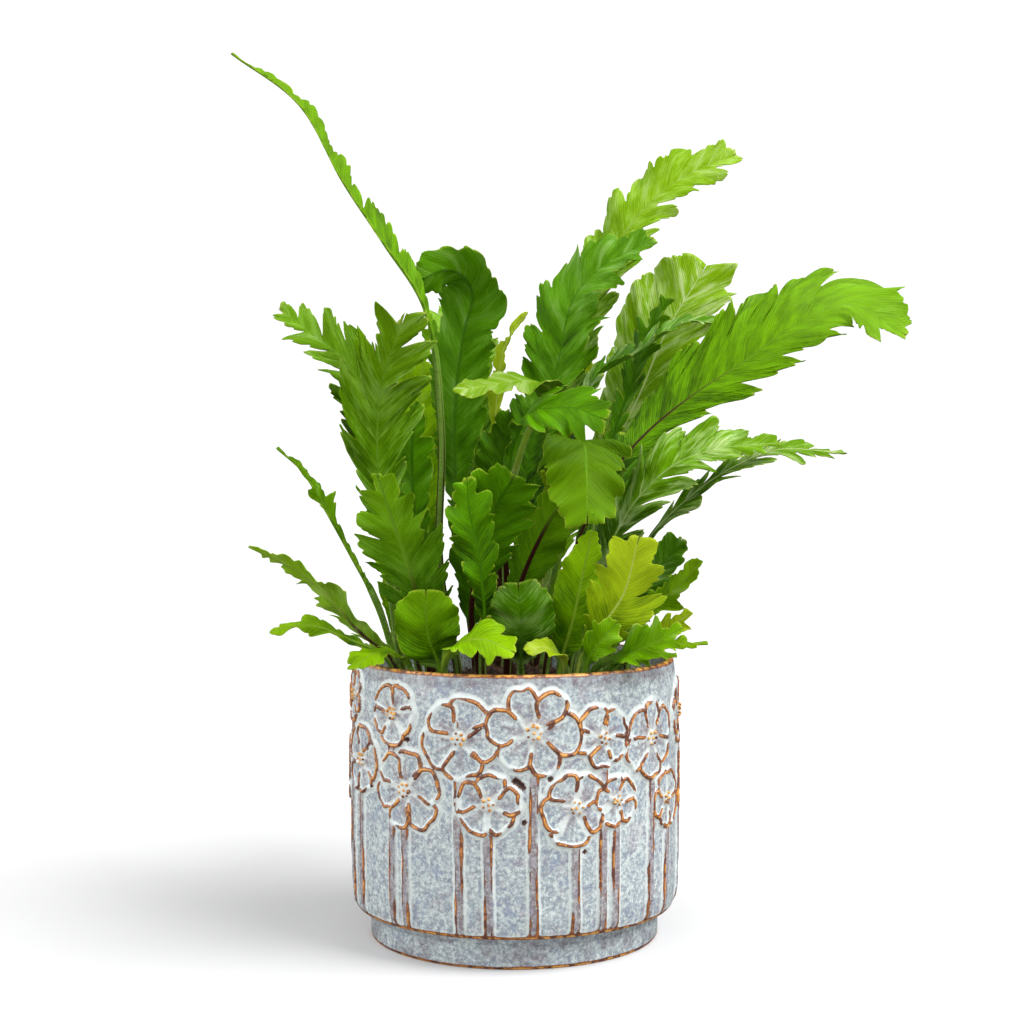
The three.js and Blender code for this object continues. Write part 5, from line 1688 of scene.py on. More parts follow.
FRONDS = [
    Frond("tall_narrow", Tone.MID, 1, [(-26, -16, 125), (-33, -26, 173), (-32, -32, 231), (-39, -36, 284),
        (-57, -35, 313), (-75, -34, 340), (-95, -30, 375), (-125, -26, 398)], [(0.9, -0.4, 0.2),
        (0.5, -0.5, 0.7)], half=10, stalk=0.5, widest=0.4, blunt=0.02, lobes=6, cut=0.8, cup=22, wave=2,
        waves=5, right=0.3, sweep=1.0, edges=(Edge.ENTIRE, Edge.ROUNDED), dark_rib=0.55, frill=3.0,
        crease=0.5),
    Frond("dark_hook", Tone.DEEP, 2, [(-18, 6, 123), (-26, 10, 190), (-27, 8, 248), (-23, 4, 278),
        (-19, -5, 293), (-23, -15, 301), (-31, -22, 303), (-40, -26, 299)], [(0.4, 0.9, 0), (0.4, 0.9, 0),
        (0.4, 0.9, 0), (0.4, 0.9, 0.1), (0.3, 0.8, 0.5)], half=19, stalk=0.32, widest=0.62, blunt=0.17,
        lobes=8, cut=0.23, cup=10, wave=1.2, edges=(Edge.ROUNDED, Edge.ROUNDED), dark_rib=0.5, gloss=0.15,
        shade=(-0.2, 0.9), crease=0.8),
    Frond("lime_ribbon", Tone.LIME, 3, [(-5, 26, 120), (-8, 28, 189), (-8, 30, 247), (-4, 30, 273),
        (6, 30, 288)], [(-0.6, -0.8, 0), (-0.7, -0.7, 0.2)], half=6, stalk=0.4, lobes=6, cut=0.29, cup=20,
        dark_rib=0.0),
    Frond("broad_centre", Tone.DEEP, 4, [(3, 4, 123), (6, 8, 213), (20, 12, 260), (28, 14, 293),
        (40, 12, 307), (62, 8, 319)], [(-0.3, -0.95, 0.1), (-0.4, -0.7, 0.6)], half=24, stalk=0.34,
        blunt=0.1, lobes=9, cut=0.41, wave=2.2, waves=5, dark_rib=0.4, frill=5.0, shade=(0.0, 0.8),
        crease=0.8),
    Frond("upper_right", Tone.FRESH, 5, [(12, 22, 121), (22, 36, 213), (37, 46, 296), (54, 52, 328),
        (69, 54, 346), (86, 56, 358), (105, 56, 366)], [(-0.5, -0.85, 0.2), (-0.4, -0.8, 0.5)],
        stalk=0.42, blunt=0.2, lobes=9, cut=0.46, wave=2, waves=5, edges=(Edge.ROUNDED, Edge.FINGERED),
        dark_rib=0.0, gloss=0.35, frill=4.5, crease=0.45, shade=(-0.9, 0.2)),
    Frond("lime_fan", Tone.FRESH, 6, [(22, 24, 121), (45, 48, 213), (63, 56, 252), (76, 62, 282),
        (92, 69, 308)], [(-0.5, -0.85, 0.3), (-0.3, -0.85, 0.4)], half=29, widest=0.8, blunt=0.24,
        lobes=8, cut=0.29, cup=12, wave=1.8, sweep=0.9, edges=(Edge.ENTIRE, Edge.CLAWED), dark_rib=0.45,
        gloss=0.9, crease=0.4, shade=(-0.8, 0.7)),
    Frond("broad_right", Tone.MID, 7, [(14, -22, 124), (20, -34, 152), (29, -37, 184), (45, -24, 213),
        (60, -16, 230), (81, -12, 247), (104, -12, 262), (128, -13, 279), (152, -12, 288),
        (173, -16, 276)], [(-0.5, -0.8, 0.4), (-0.4, -0.8, 0.5), (-0.4, -0.8, 0.5), (-0.2, -0.4, 0.9)],
        half=29, stalk=0.24, widest=0.74, lobes=10, cut=0.42, cup=10, sweep=0.8, right=1.3, dark_rib=0.75,
        frill=3.0, shade=(-0.5, 0.3), crease=0.45),
    Frond("glossy_right", Tone.MID, 8, [(29, -16, 126), (42, -34, 178), (55, -43, 202), (72, -46, 217),
        (91, -48, 223), (113, -50, 225)], [(-0.5, -0.8, 0.4), (-0.1, -0.6, 0.8)], stalk=0.24, widest=0.5,
        lobes=8, cup=12, wave=2.2, waves=4, sweep=1.0, edges=(Edge.ROUNDED, Edge.FINGERED), dark_rib=0.0,
        gloss=0.65, shade=(-0.8, 0.3)),
    Frond("outer_ribbon", Tone.MID, 9, [(39, -20, 128), (57, -34, 179), (79, -40, 203), (95, -42, 214),
        (114, -42, 222), (144, -40, 221)], [(-0.3, -0.4, 0.9), (0, -0.35, 0.95)], half=13, stalk=0.34,
        lobes=7, cup=10, curl=0.25, sweep=1.2, edges=(Edge.FINGERED, Edge.FINGERED), dark_rib=0.2,
        gloss=0.8),
    Frond("lime_lobed", Tone.LIME, 10, [(29, -36, 128), (37, -50, 144), (47, -60, 161), (52, -64, 181)],
        [(-0.4, -0.9, 0.4), (-0.1, -0.95, 0.3)], half=18, widest=0.62, blunt=0.28, sweep=0.5, cup=8,
        edges=(Edge.ROUNDED, Edge.ROUNDED), dark_rib=0.0, crease=0.4, shade=(-1.5, 0.1)),
    Frond("bright_pointed", Tone.FRESH, 11, [(21, -30, 127), (26, -40, 148), (30, -44, 168),
        (34, -46, 187)], [(-0.2, -1, 0.3), (-0.1, -1, 0.2)], half=13, stalk=0.2, widest=0.45, blunt=0.02,
        lobes=5, cut=0.26, cup=12, edges=(Edge.ENTIRE, Edge.ROUNDED), dark_rib=0.0, crease=0.4,
        shade=(-1.2, 0.4)),
    Frond("low_right_tip", Tone.FRESH, 12, [(42, -8, 127), (62, -14, 150), (75, -18, 161),
        (84, -20, 172)], [(-0.4, -0.8, 0.5), (-0.4, -0.8, 0.5)], half=9, cut=0.43),
    Frond("dark_wavy_right", Tone.DEEP, 13, [(34, 4, 124), (53, 0, 151), (67, -2, 168), (76, -4, 180)],
        [(-0.4, -0.9, 0.4), (-0.3, -0.8, 0.5)], half=15, stalk=0.25, blunt=0.12, lobes=5, cut=0.49,
        wave=2.5, edges=(Edge.ROUNDED, Edge.ROUNDED), gloss=0.3),
    Frond("lying_right", Tone.MID, 14, [(35, -46, 127), (47, -61, 134), (58, -71, 140), (70, -76, 147)],
        [(-0.2, -0.7, 0.7), (-0.1, -0.75, 0.65)], half=12, stalk=0.42, widest=0.55, cut=0.43),
    Frond("low_right_yellow", Tone.LIME, 15, [(46, -24, 127), (60, -30, 136), (70, -34, 144),
        (78, -36, 150)], [(-0.3, -0.75, 0.7), (-0.3, -0.75, 0.7)], half=9, cut=0.52),
    Frond("low_right_thin", Tone.FRESH, 16, [(46, -36, 127), (60, -42, 133.5), (71, -46, 137),
        (84, -48, 138)], [(-0.2, -0.5, 0.85), (-0.1, -0.5, 0.85)], half=5.5, stalk=0.35, blunt=0.02),
    Frond("crinkled_top", Tone.MID, 17, [(10, 0, 123), (20, 3, 172), (26, -4, 212), (29, -22, 226),
        (31, -42, 223), (31, -56, 212), (31, -62, 196)], [(-0.05, 1, 0), (0, -0.3, 0.95),
        (0.1, -0.9, 0.4)], stalk=0.6, widest=0.5, blunt=0.36, lobes=5, cut=0.2, sweep=0.8, cup=4, wave=3,
        waves=4, edges=(Edge.CLAWED, Edge.CLAWED), dark_rib=0.3, frill=8.0, shade=(-2.8, -1.8),
        crease=0.6),
    Frond("dark_arch", Tone.DEEP, 18, [(-2, -10, 124), (-4, -18, 172), (-3, -24, 212), (2, -33, 231),
        (8, -44, 239), (16, -52, 240), (26, -57, 240), (36, -61, 236)], [(-0.3, 0.95, 0), (-0.3, 0.95, 0),
        (-0.3, 0.8, 0.4), (-0.2, -0.4, 0.9), (0, -0.95, 0.3)], half=16.5, stalk=0.6, widest=0.55,
        blunt=0.25, lobes=6, cut=0.35, cup=6, wave=2, sweep=0.8, edges=(Edge.CLAWED, Edge.CLAWED),
        dark_rib=0.6, frill=4.5),
    Frond("pale_edge", Tone.FRESH, 19, [(-7, 0, 123), (-4, -4, 190), (6, -10, 230), (16, -21, 246),
        (14, -35, 251), (2, -48, 252), (-10, -56, 250), (-24, -63, 247)], [(0.3, 0.95, 0), (0.3, 0.95, 0),
        (0.2, 0.8, 0.5), (0, -0.1, 1), (0, -0.6, 0.8)], half=11, stalk=0.6, widest=0.55, blunt=0.1,
        lobes=5, cut=0.22, cup=6, edges=(Edge.ROUNDED, Edge.ROUNDED), dark_rib=0.6, gloss=0.5, crease=0.6,
        shade=(-2.4, -2.4)),
    Frond("dark_centre", Tone.DEEP, 20, [(-9, 8, 123), (-10, 16, 171), (-7, 19, 209), (-2, 21, 240)],
        [(0, -1, 0), (-0.1, -1, 0.1)], half=15, stalk=0.35, blunt=0.08, lobes=6, cut=0.29,
        shade=(-1.2, -0.4), crease=0.7),
    Frond("front_centre", Tone.DEEP, 21, [(-16, -22, 126), (-19, -34, 150), (-15, -44, 176),
        (-8, -52, 198), (-2, -62, 208)], [(0.1, 1, 0), (0, 0.9, 0.4)], widest=0.7, blunt=0.2, lobes=6,
        cut=0.35, cup=10, wave=2, edges=(Edge.CLAWED, Edge.ROUNDED), dark_rib=0.8, frill=4.5,
        shade=(-1.2, -0.4), crease=0.8),
    Frond("rusty_rib", Tone.MID, 22, [(-3, -14, 125), (2, -22, 159), (11, -28, 182), (19, -32, 196),
        (26, -36, 203)], [(0.3, 1, 0), (0.2, 1, 0.2)], half=13, lobes=5, cut=0.23,
        edges=(Edge.ENTIRE, Edge.ROUNDED), dark_rib=0.95, shade=(-1.2, 0.0), crease=0.5),
    Frond("small_left_centre", Tone.DEEP, 23, [(-14, -40, 128), (-13, -52, 151), (-15, -60, 175),
        (-19, -64, 196), (-20, -66, 208)], [(0.2, -1, 0.2), (0.1, -1, 0.2)], half=12, widest=0.7,
        blunt=0.14, lobes=6, cut=0.5, wave=2.6, edges=(Edge.ROUNDED, Edge.ROUNDED), frill=4.5,
        shade=(-1.4, 0.2), crease=0.7),
    Frond("left_fan", Tone.MID, 24, [(-52, -6, 125), (-58, -10, 172), (-61, -12, 209), (-65, -14, 240),
        (-75, -16, 261), (-88, -18, 272), (-103, -20, 284)], [(0.5, -0.85, 0), (0.3, -0.8, 0.6)], half=19,
        stalk=0.4, widest=0.5, blunt=0.16, lobes=8, cut=0.7, wave=2, sweep=1.1,
        edges=(Edge.FINGERED, Edge.ROUNDED), dark_rib=0.2, gloss=0.15, crease=0.7, shade=(-2.0, -0.1)),
    Frond("left_upright", Tone.MID, 25, [(-44, -12, 125), (-55, -22, 173), (-60, -32, 211),
        (-60, -36, 238), (-56, -42, 258), (-49, -48, 276)], [(0.2, -1, 0), (0.1, -1, 0.2)], half=22,
        stalk=0.42, widest=0.62, blunt=0.34, lobes=5, sweep=1.0, edges=(Edge.CLAWED, Edge.FINGERED),
        dark_rib=0.3, frill=5.0, gloss=0.2, shade=(0.9, -1.3), crease=0.7),
    Frond("left_lobed", Tone.MID, 26, [(-36, -28, 127), (-42, -40, 156), (-47, -48, 175), (-53, -54, 194),
        (-58, -58, 210)], [(0.2, 1, 0.1), (0.2, 0.95, 0.3)], stalk=0.14, widest=0.5, blunt=0.1, lobes=7,
        cut=0.42, cup=10, sweep=0.65, edges=(Edge.CLAWED, Edge.FINGERED), dark_rib=0.65, gloss=0.15,
        shade=(-1.0, 0.1), crease=0.7),
    Frond("thin_left", Tone.MID, 27, [(-54, -16, 127), (-61, -20, 152), (-73, -22, 175), (-86, -22, 198),
        (-95, -22, 213), (-106, -22, 223)], [(0.7, -0.1, 0.7), (0.4, -0.4, 0.8)], half=6.5, stalk=0.4,
        lobes=6, cup=24, wave=2, sweep=1.0, edges=(Edge.CLAWED, Edge.CLAWED), dark_rib=0.0),
    Frond("low_left_light", Tone.FRESH, 28, [(-53, -28, 128), (-68, -34, 142), (-79, -38, 155),
        (-93, -40, 168), (-116, -42, 180)], [(0.4, 0.5, 0.7), (0.2, 0.5, 0.8)], half=12, stalk=0.12,
        widest=0.4, blunt=0.02, lobes=7, cut=0.49, cup=0, edges=(Edge.ENTIRE, Edge.CLAWED), dark_rib=0.6,
        shade=(0.5, 0.8), gloss=0.5),
    Frond("lowest_left", Tone.FRESH, 29, [(-58, 4, 125), (-76, 4, 134), (-90, 2, 140), (-100, 2, 141),
        (-113, 2, 138)], [(0.3, -0.5, 0.85), (0.1, -0.6, 0.8)], half=6, lobes=5, cut=0.35,
        edges=(Edge.ENTIRE, Edge.ROUNDED), shade=(-0.6, 0.2)),
    Frond("round_front_left", Tone.MID, 30, [(-33, -42, 127), (-37, -50, 140), (-38, -54, 149),
        (-38, -56, 158)], [(0, -1, 0.4), (0, -1, 0.3)], half=16, stalk=0.2, widest=0.55, blunt=0.36,
        cut=0.1, sweep=0.5, edges=(Edge.ENTIRE, Edge.ENTIRE), dark_rib=0.0, crease=0.3,
        shade=(-0.8, 0.0)),
    Frond("lime_face", Tone.FRESH, 31, [(-30, -48, 127), (-28, -59, 136), (-21, -67, 141),
        (-12, -72, 142), (-2, -76, 138)], [(0.5, -0.2, 0.8), (0.1, -0.85, 0.6)], half=12, stalk=0.4,
        blunt=0.2, cut=0.49, sweep=0.4, cup=6, edges=(Edge.ROUNDED, Edge.ROUNDED), crease=0.5),
    Frond("rim_spill", Tone.FRESH, 32, [(-46, -36, 127), (-54, -43, 133.5), (-61, -50, 134),
        (-68, -57, 129)], [(0.3, 0.1, 1), (-0.4, -0.5, 0.8)], half=10, stalk=0.25, blunt=0.2, cut=0.49,
        sweep=0.5, cup=6),
    Frond("small_pale", Tone.LIME, 33, [(23, -50, 127), (18, -58, 135), (12, -63, 138), (6, -67, 137)],
        [(0.4, -0.4, 0.8), (-0.1, -0.6, 0.8)], half=7, blunt=0.2, cut=0.23, sweep=0.4,
        edges=(Edge.ROUNDED, Edge.ROUNDED), gloss=0.4),
    Frond("dark_low_centre", Tone.DEEP, 34, [(3, -30, 126), (3, -40, 139), (3, -46, 150), (2, -49, 160)],
        [(0, -1, 0.4), (0, -1, 0.3)], half=18, stalk=0.2, blunt=0.36, cut=0.16, sweep=0.5,
        edges=(Edge.ROUNDED, Edge.ROUNDED), gloss=0.35, crease=0.4, shade=(-0.8, 0.2)),
    Frond("low_right_light", Tone.MID, 35, [(31, -52, 128), (34, -58, 136), (38, -63, 142),
        (43, -66, 148)], [(-0.2, -0.9, 0.5), (-0.1, -0.9, 0.4)], half=9, stalk=0.2, blunt=0.14, cut=0.38),
    Frond("rim_right", Tone.MID, 36, [(41, -46, 127), (50, -54, 131.5), (59, -58, 134), (69, -60, 134)],
        [(-0.2, -0.4, 0.9), (0, -0.4, 0.9)], half=7, stalk=0.25, cut=0.43),
    Frond("back_left_mid", Tone.FRESH, 37, [(-35, 16, 122), (-40, 22, 170), (-43, 26, 218),
        (-45, 28, 246), (-43, 30, 271)], [(0.1, -1, 0), (0.2, -1, 0.2)], half=15, stalk=0.4, lobes=6,
        cut=0.41),
    Frond("edge_right", Tone.DEEP, 38, [(16, 14, 123), (24, 22, 199), (37, 28, 254), (60, 32, 270),
        (83, 34, 284), (97, 32, 283)], [(-0.9, -0.2, 0.3), (-0.3, -0.3, 0.9)], half=12, stalk=0.5,
        lobes=7, cup=20, sweep=1.0, edges=(Edge.FINGERED, Edge.FINGERED), gloss=0.6),
    Frond("dark_right_up", Tone.DEEP, 39, [(26, 14, 122), (43, 38, 213), (58, 50, 256), (65, 53, 278),
        (76, 54, 296)], [(-0.5, -0.85, 0.2), (-0.4, -0.8, 0.5)], half=10, stalk=0.55, lobes=5, blunt=0.14,
        sweep=1.0, edges=(Edge.FINGERED, Edge.FINGERED)),
    Frond("lime_back", Tone.LIME, 40, [(11, 34, 120), (20, 42, 208), (30, 46, 251), (38, 48, 271)],
        [(-0.2, -1, 0.1), (-0.2, -0.9, 0.4)], half=13, stalk=0.45, blunt=0.14, lobes=5, cut=0.38),
    Frond("dark_left_mid", Tone.DEEP, 41, [(-39, -2, 125), (-44, 0, 172), (-47, 2, 209), (-47, 2, 227),
        (-45, 4, 244)], [(0.5, 0.9, 0), (0.3, 0.9, 0.2)], half=11, stalk=0.35, lobes=5, cut=0.29),
    Frond("back_left_low", Tone.DEEP, 42, [(-34, 32, 119), (-42, 50, 165), (-50, 78, 205),
        (-54, 112, 226), (-52, 142, 222)], [(0.3, -1, 0.2), (0.1, 0.2, 1)], half=23, stalk=0.25, lobes=8,
        cut=0.38, wave=2),
    Frond("back_long", Tone.MID, 43, [(-14, 38, 119), (-17, 62, 170), (-19, 92, 215), (-20, 132, 240),
        (-22, 168, 232)], [(0, -1, 0.2), (0, 0.2, 1)], half=26, stalk=0.25, lobes=9, cut=0.35, wave=2,
        waves=5, gloss=0.5, crease=0.7),
    Frond("back_middle", Tone.FRESH, 44, [(8, 42, 119), (14, 68, 158), (20, 100, 186), (26, 132, 192)],
        [(0, -1, 0.3), (0.1, 0.1, 1)], stalk=0.2, lobes=7, cut=0.43),
    Frond("back_right", Tone.DEEP, 45, [(30, 36, 119), (42, 60, 165), (54, 92, 205), (62, 128, 224),
        (66, 160, 214)], [(-0.3, -1, 0.2), (-0.1, 0.2, 1)], half=24, stalk=0.25, lobes=8, cut=0.41,
        wave=2),
    Frond("back_low_right", Tone.MID, 46, [(44, 28, 119), (56, 46, 145), (66, 66, 158), (74, 84, 156)],
        [(-0.5, -0.7, 0.5), (-0.2, -0.1, 1)], half=15, stalk=0.2, lobes=5, cut=0.43),
    Frond("back_low_middle", Tone.FRESH, 47, [(2, 58, 119), (2, 70, 138), (4, 88, 147), (6, 102, 142)],
        [(0, -1, 0.5), (0, 0.2, 1)], half=14, stalk=0.2, cut=0.43, blunt=0.16),
    Frond("back_low_left", Tone.LIME, 48, [(-28, 54, 119), (-34, 68, 135), (-42, 86, 141),
        (-48, 99, 136)], [(0.4, -0.9, 0.5), (-0.1, 0.2, 1)], half=14, stalk=0.2, cut=0.49, blunt=0.16),
    Frond("back_rim_right", Tone.FRESH, 49, [(28, 54, 119), (34, 68, 136), (40, 88, 143), (44, 102, 138)],
        [(-0.3, -0.9, 0.5), (0.1, 0.2, 1)], half=13, stalk=0.2, cut=0.49, blunt=0.16),
    Frond("back_tall", Tone.MID, 50, [(-14, 18, 121), (-18, 30, 190), (-22, 46, 250), (-28, 66, 284),
        (-32, 90, 294)], [(0.1, -1, 0.1), (0, -0.1, 1)], stalk=0.38, lobes=7, cut=0.38, wave=2,
        edges=(Edge.CLAWED, Edge.CLAWED), gloss=0.3),
    Frond("back_upright", Tone.DEEP, 51, [(2, 24, 121), (8, 46, 180), (16, 66, 228), (24, 92, 258),
        (28, 118, 262)], [(-0.2, -1, 0.1), (-0.1, -0.1, 1)], lobes=7, cut=0.38, wave=2,
        edges=(Edge.FINGERED, Edge.ROUNDED)),
    Frond("back_broad_left", Tone.MID, 52, [(-42, 38, 119), (-47, 50, 145), (-49, 62, 170),
        (-50, 76, 186)], [(0.5, -0.8, 0.2), (0.2, -0.4, 0.9)], half=17, stalk=0.22, blunt=0.12, lobes=5,
        cut=0.36, crease=0.6),
    Frond("back_broad_middle", Tone.DEEP, 53, [(-12, 52, 119), (-14, 62, 145), (-14, 74, 170),
        (-13, 90, 184)], [(0.1, -1, 0.2), (0, -0.4, 0.9)], half=15, stalk=0.22, blunt=0.12, lobes=5,
        cut=0.36, crease=0.6),
    Frond("right_back", Tone.MID, 55, [(52, 8, 119), (57, 18, 142), (59, 26, 164), (60, 36, 182)],
        [(-0.8, -0.4, 0.3), (-0.5, -0.3, 0.8)], half=14, stalk=0.25, cut=0.36),
    Frond("left_back", Tone.FRESH, 56, [(-54, 20, 119), (-58, 28, 140), (-60, 34, 160), (-62, 40, 176)],
        [(0.8, -0.4, 0.3), (0.6, -0.4, 0.7)], half=13, stalk=0.35, cut=0.36),
]


# Soil and crown


@dataclass
class Soil:
    """The domed fill of potting mix with loose crumbs on top."""

    radius: float = 67.15
    bottom: float = 8.4
    edge_height: float = 112.0
    top_height: float = 116.0
    rings: int = 64
    columns: int = 180
    crumbs: int = 1500
    seed: int = 4

    side_heights = (13.8, 60.0, 105.0)
    base_share = 0.92
    settling = 0.8
    crumb_widths = (0.5, 1.5)
    crumb_shapes = ((0.6, 1.8), (0.6, 1.2), (0.4, 0.8))
    crumb_lift = 0.15
    bare_rim = 3.0

    def surface(self, x: np.ndarray, y: np.ndarray) -> np.ndarray:
        """The uneven top's height at places across the pot."""
        reach = np.hypot(x, y) / self.radius
        rise = self.top_height - self.edge_height
        mound = np.interp(reach, [0.0, 0.5, 0.8, 1.0], [1.0, 0.85, 0.5, 0.0]) * rise
        places = np.stack([x, y], -1)
        lumps = 0.7 * ripple(places, 11.0, self.seed) + 0.55 * ripple(places, 4.0, self.seed + 1, 24)
        return self.edge_height + mound - self.settling + lumps

    def build(self) -> bpy.types.Object:
        """Makes the fill and its crumbs.

        Returns:
            One object.
        """
        turn = ring_turns(self.columns)
        reaches = np.linspace(0.0, 1.0, self.rings)[1:] * self.radius
        x = np.sin(turn) * reaches[:, None]
        y = -np.cos(turn) * reaches[:, None]
        top = np.stack([x, y, self.surface(x, y)], -1)[::-1]
        side = [np.stack([x[-1], y[-1], np.full(self.columns, z)], -1) for z in self.side_heights]
        base = side[0] * (self.base_share, self.base_share, self.bottom / self.side_heights[0])
        rings = np.concatenate([[base], side, top])
        middle = float(self.surface(np.zeros(1), np.zeros(1))[0])
        centres = [[0.0, 0.0, self.bottom], [0.0, 0.0, middle]]
        shape = Shape()
        shape.add(*capped(rings, centres))
        self.add_crumbs(shape)
        return shape.build("soil_fill")

    def add_crumbs(self, shape: Shape) -> None:
        """Scatters uneven crumbs over the top.

        Args:
            shape: The shape that they are added to.
        """
        rng = np.random.default_rng(self.seed)
        ball = IcoBall(0)
        for _ in range(self.crumbs):
            reach = (self.radius - self.bare_rim) * rng.uniform(0.05, 1.0) ** 0.5
            turn = rng.uniform(0.0, 2.0 * math.pi)
            x, y = math.sin(turn) * reach, -math.cos(turn) * reach
            width = rng.uniform(*self.crumb_widths)
            size = width * np.array([rng.uniform(*span) for span in self.crumb_shapes])
            spin = np.array(Euler(rng.uniform(0.0, 6.3, 3)).to_matrix())
            uneven = ball.corners * rng.uniform(0.7, 1.2, (len(ball.corners), 1)) * size
            z = float(self.surface(np.array([x]), np.array([y]))[0])
            shape.add(uneven @ spin.T + [x, y, z + self.crumb_lift], [ball.faces])

    def dress(self, finish: bpy.types.Material) -> None:
        """Builds the soil and puts it in place."""
        place(self.build(), finish, "soil", "potting_soil")


@dataclass
class Crown:
    """The short scaly rhizome that the fronds grow from."""

    radii: tuple[float, float, float] = (33.0, 27.0, 15.0)
    centre: tuple[float, float, float] = (-2.0, 0.0, 108.0)
    rings: int = 40
    columns: int = 96
    scales: int = 900
    seed: int = 8

    scale_lengths = (2.5, 6.5)
    scale_halves = (0.4, 0.9)
    scale_faces = np.array(
        [[0, 1, 5], [1, 2, 5], [2, 4, 5], [4, 3, 5], [3, 0, 5], [0, 3, 1], [1, 3, 2], [2, 3, 4]],
    )

    def build(self) -> bpy.types.Object:
        """Makes the lumpy rhizome with papery scales.

        Returns:
            One object.
        """
        lean = np.linspace(-math.pi / 2, math.pi / 2, self.rings + 2)[1:-1, None]
        turn = ring_turns(self.columns)
        level = np.sin(lean) * np.ones_like(turn)
        way = np.stack([np.cos(lean) * np.cos(turn), np.cos(lean) * np.sin(turn), level], -1)
        poles = self.skin(np.array([[0.0, 0.0, -1.0], [0.0, 0.0, 1.0]]))
        shape = Shape()
        shape.add(*capped(self.skin(way), poles))
        self.add_scales(shape)
        return shape.build("crown_rhizome")

    def skin(self, way: np.ndarray) -> np.ndarray:
        """Places on the lumpy skin in the given directions from the centre."""
        lumps = 1.0 + 0.05 * ripple(way, 0.9, self.seed) + 0.035 * ripple(way, 0.3, self.seed + 1, 24)
        return np.array(self.centre) + way * np.array(self.radii) * (lumps - 0.06)[..., None]

    def add_scales(self, shape: Shape) -> None:
        """Lays small pointed scales over the upper side.

        Args:
            shape: The shape that they are added to.
        """
        rng = np.random.default_rng(self.seed)
        for _ in range(self.scales):
            way = rng.normal(size=3)
            way[2] = abs(way[2]) * 0.9 + 0.15
            way /= np.linalg.norm(way)
            root = self.skin(way[None])[0]
            out = way / np.array(self.radii)
            out /= np.linalg.norm(out)
            along = np.cross(out, rng.normal(size=3))
            along = along / np.linalg.norm(along) * 0.9 + out * rng.uniform(0.1, 0.7)
            along /= np.linalg.norm(along)
            side = np.cross(out, along)
            length, half = rng.uniform(*self.scale_lengths), rng.uniform(*self.scale_halves)
            base, waist = root - out * 0.4, root + along * length * 0.5 + out * 0.3
            tip = root + along * length + out * rng.uniform(-0.3, 0.8)
            ridge = root + along * length * 0.45 + out * 0.75
            edge = side * half
            corners = [base - edge, base + edge, waist + edge * 0.8, waist - edge * 0.8, tip, ridge]
            shape.add(np.array(corners), [self.scale_faces])

    def dress(self, finish: bpy.types.Material) -> None:
        """Builds the crown and puts it in place."""
        place(self.build(), finish, "crown", "crown")


# Studio


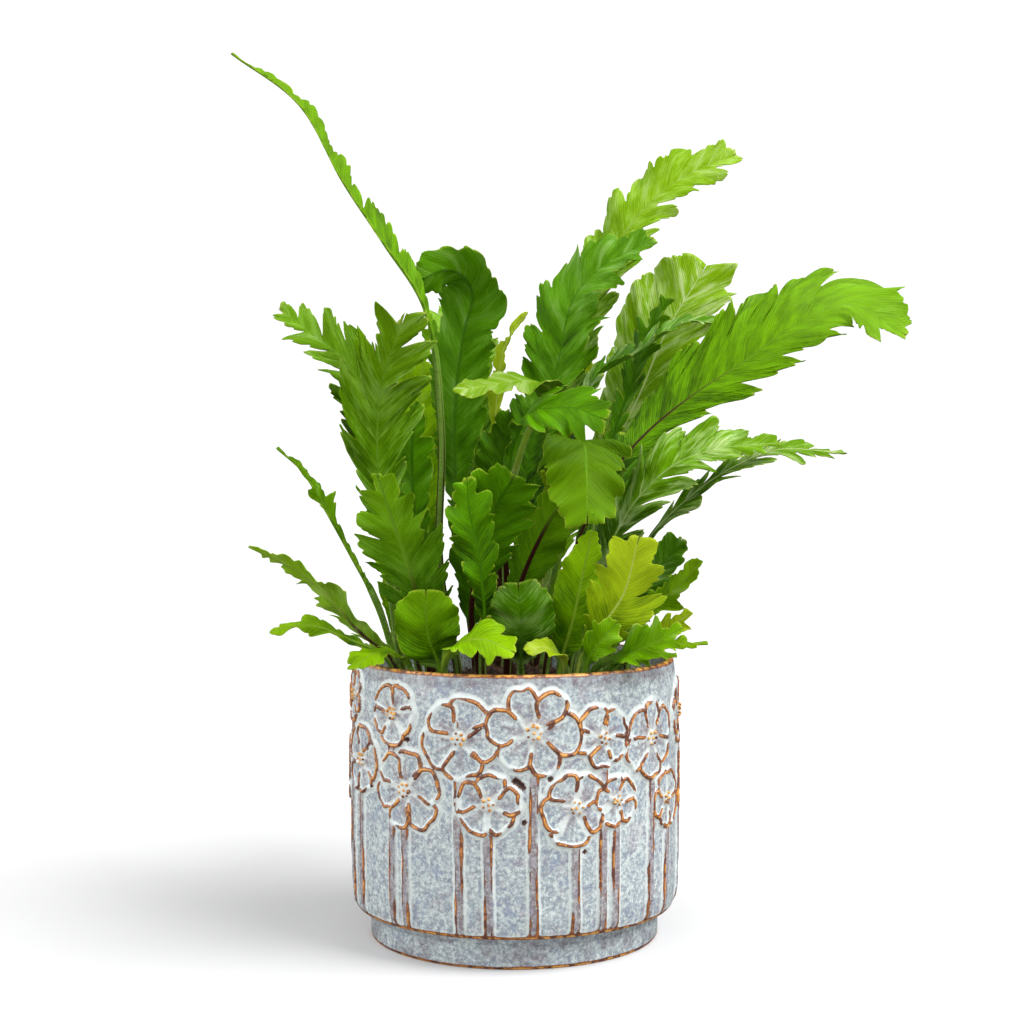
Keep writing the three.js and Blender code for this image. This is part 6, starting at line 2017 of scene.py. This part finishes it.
@dataclass
class Studio:
    """The floor, the lights and the camera at the photo's place."""

    camera_place: Point = (-1.0, -800.0, 219.0)
    camera_pitch: float = 0.0314
    lens: float = 60.9
    sensor: float = 36.0
    clip: tuple[float, float] = (0.01, 50.0)
    floor_size: float = 60.0
    floor_steps: int = 5
    sun_from: Point = (0.62, -0.16, 0.77)
    sun_spread: float = 0.8
    sun_power: float = 3.6

    def build(self, paper: bpy.types.Material) -> None:
        """Makes the floor, the lights, the sky and the camera."""
        shape = Shape()
        line = np.linspace(-0.5, 0.5, self.floor_steps) * self.floor_size / MM
        x, y = np.meshgrid(line, line)
        corners = np.stack([x, y, np.zeros_like(x)], -1).reshape(-1, 3)
        shape.add(corners, [grid_faces(self.floor_steps, self.floor_steps, closed=False)])
        floor = shape.build("studio_floor")
        floor.data.materials.append(paper)
        self.light("sun_light", self.sun_from, self.sun_spread, self.sun_power)
        self.sky()
        camera = bpy.data.cameras.new("camera")
        camera.lens = self.lens
        camera.sensor_width = self.sensor
        camera.sensor_fit = "HORIZONTAL"
        camera.clip_start, camera.clip_end = self.clip
        holder = bpy.data.objects.new("camera", camera)
        holder.location = Vector(self.camera_place) * MM
        holder.rotation_euler = (math.pi / 2 - self.camera_pitch, 0.0, 0.0)
        bpy.context.scene.collection.objects.link(holder)
        bpy.context.scene.camera = holder

    @staticmethod
    def light(name: str, where: Point, spread: float, power: float) -> None:
        """Hangs a far, soft light that shines on the plant from a direction.

        Args:
            name: The light's name.
            where: The direction that it shines from.
            spread: How wide it looks, in radians, which softens its shadow.
            power: Its strength.
        """
        lamp = bpy.data.lights.new(name, "SUN")
        lamp.angle = spread
        lamp.energy = power
        holder = bpy.data.objects.new(name, lamp)
        holder.location = where
        holder.rotation_euler = (-Vector(where)).to_track_quat("-Z", "Y").to_euler()
        bpy.context.scene.collection.objects.link(holder)

    @staticmethod
    def sky() -> None:
        """White behind the floor, and for what it lights a sky brightest overhead and at both sides."""
        world = bpy.data.worlds.new("studio_sky")
        world.use_nodes = True
        wire = Wiring(world.node_tree)
        across, back, up = wire.parts(wire.node("TexCoord").outputs["Generated"])

        def panel(way: Socket, power: float) -> Socket:
            """Soft light from the side where the given number is high."""
            return wire.times(wire.math("POWER", wire.math("MAXIMUM", way, 0.0), 3.0), power)

        sides = wire.plus(
            panel(across, 0.6), panel(wire.times(across, -1.0), 3.0), panel(wire.times(back, -1.0), 1.6),
        )
        soft = wire.plus(sides, wire.times(wire.math("MAXIMUM", up, 0.0), 0.35), 0.08)
        glossy = wire.plus(wire.ease(up, 0.5, 0.95, 2.4), sides)
        rays = wire.node("LightPath").outputs
        strength = wire.choose(rays["Is Glossy Ray"], soft, glossy)
        strength = wire.choose(rays["Is Camera Ray"], strength, 1.1)
        background = world.node_tree.nodes["Background"]
        background.inputs["Color"].default_value = (1.0, 1.0, 1.0, 1.0)
        wire.link({"Strength": strength}, background.inputs)
        bpy.context.scene.world = world
        bpy.context.scene.view_settings.view_transform = "Standard"


def main() -> None:
    """Builds and dresses every piece, then sets up the studio."""
    mottle = mottle_group()
    surface = leaf_group(mottle)
    leaves = {finish.tone: finish.material(surface) for finish in LEAF_FINISHES}
    Studio().build(PaperFinish().material(mottle))
    Pot(flowers=flower_list(), pits=PITS).dress(GlazeFinish().material(mottle))
    Soil().dress(SOIL_FINISH.material(mottle))
    Crown().dress(CROWN_FINISH.material(mottle))
    for frond in FRONDS:
        frond.dress(leaves)


if __name__ == "__main__":
    main()
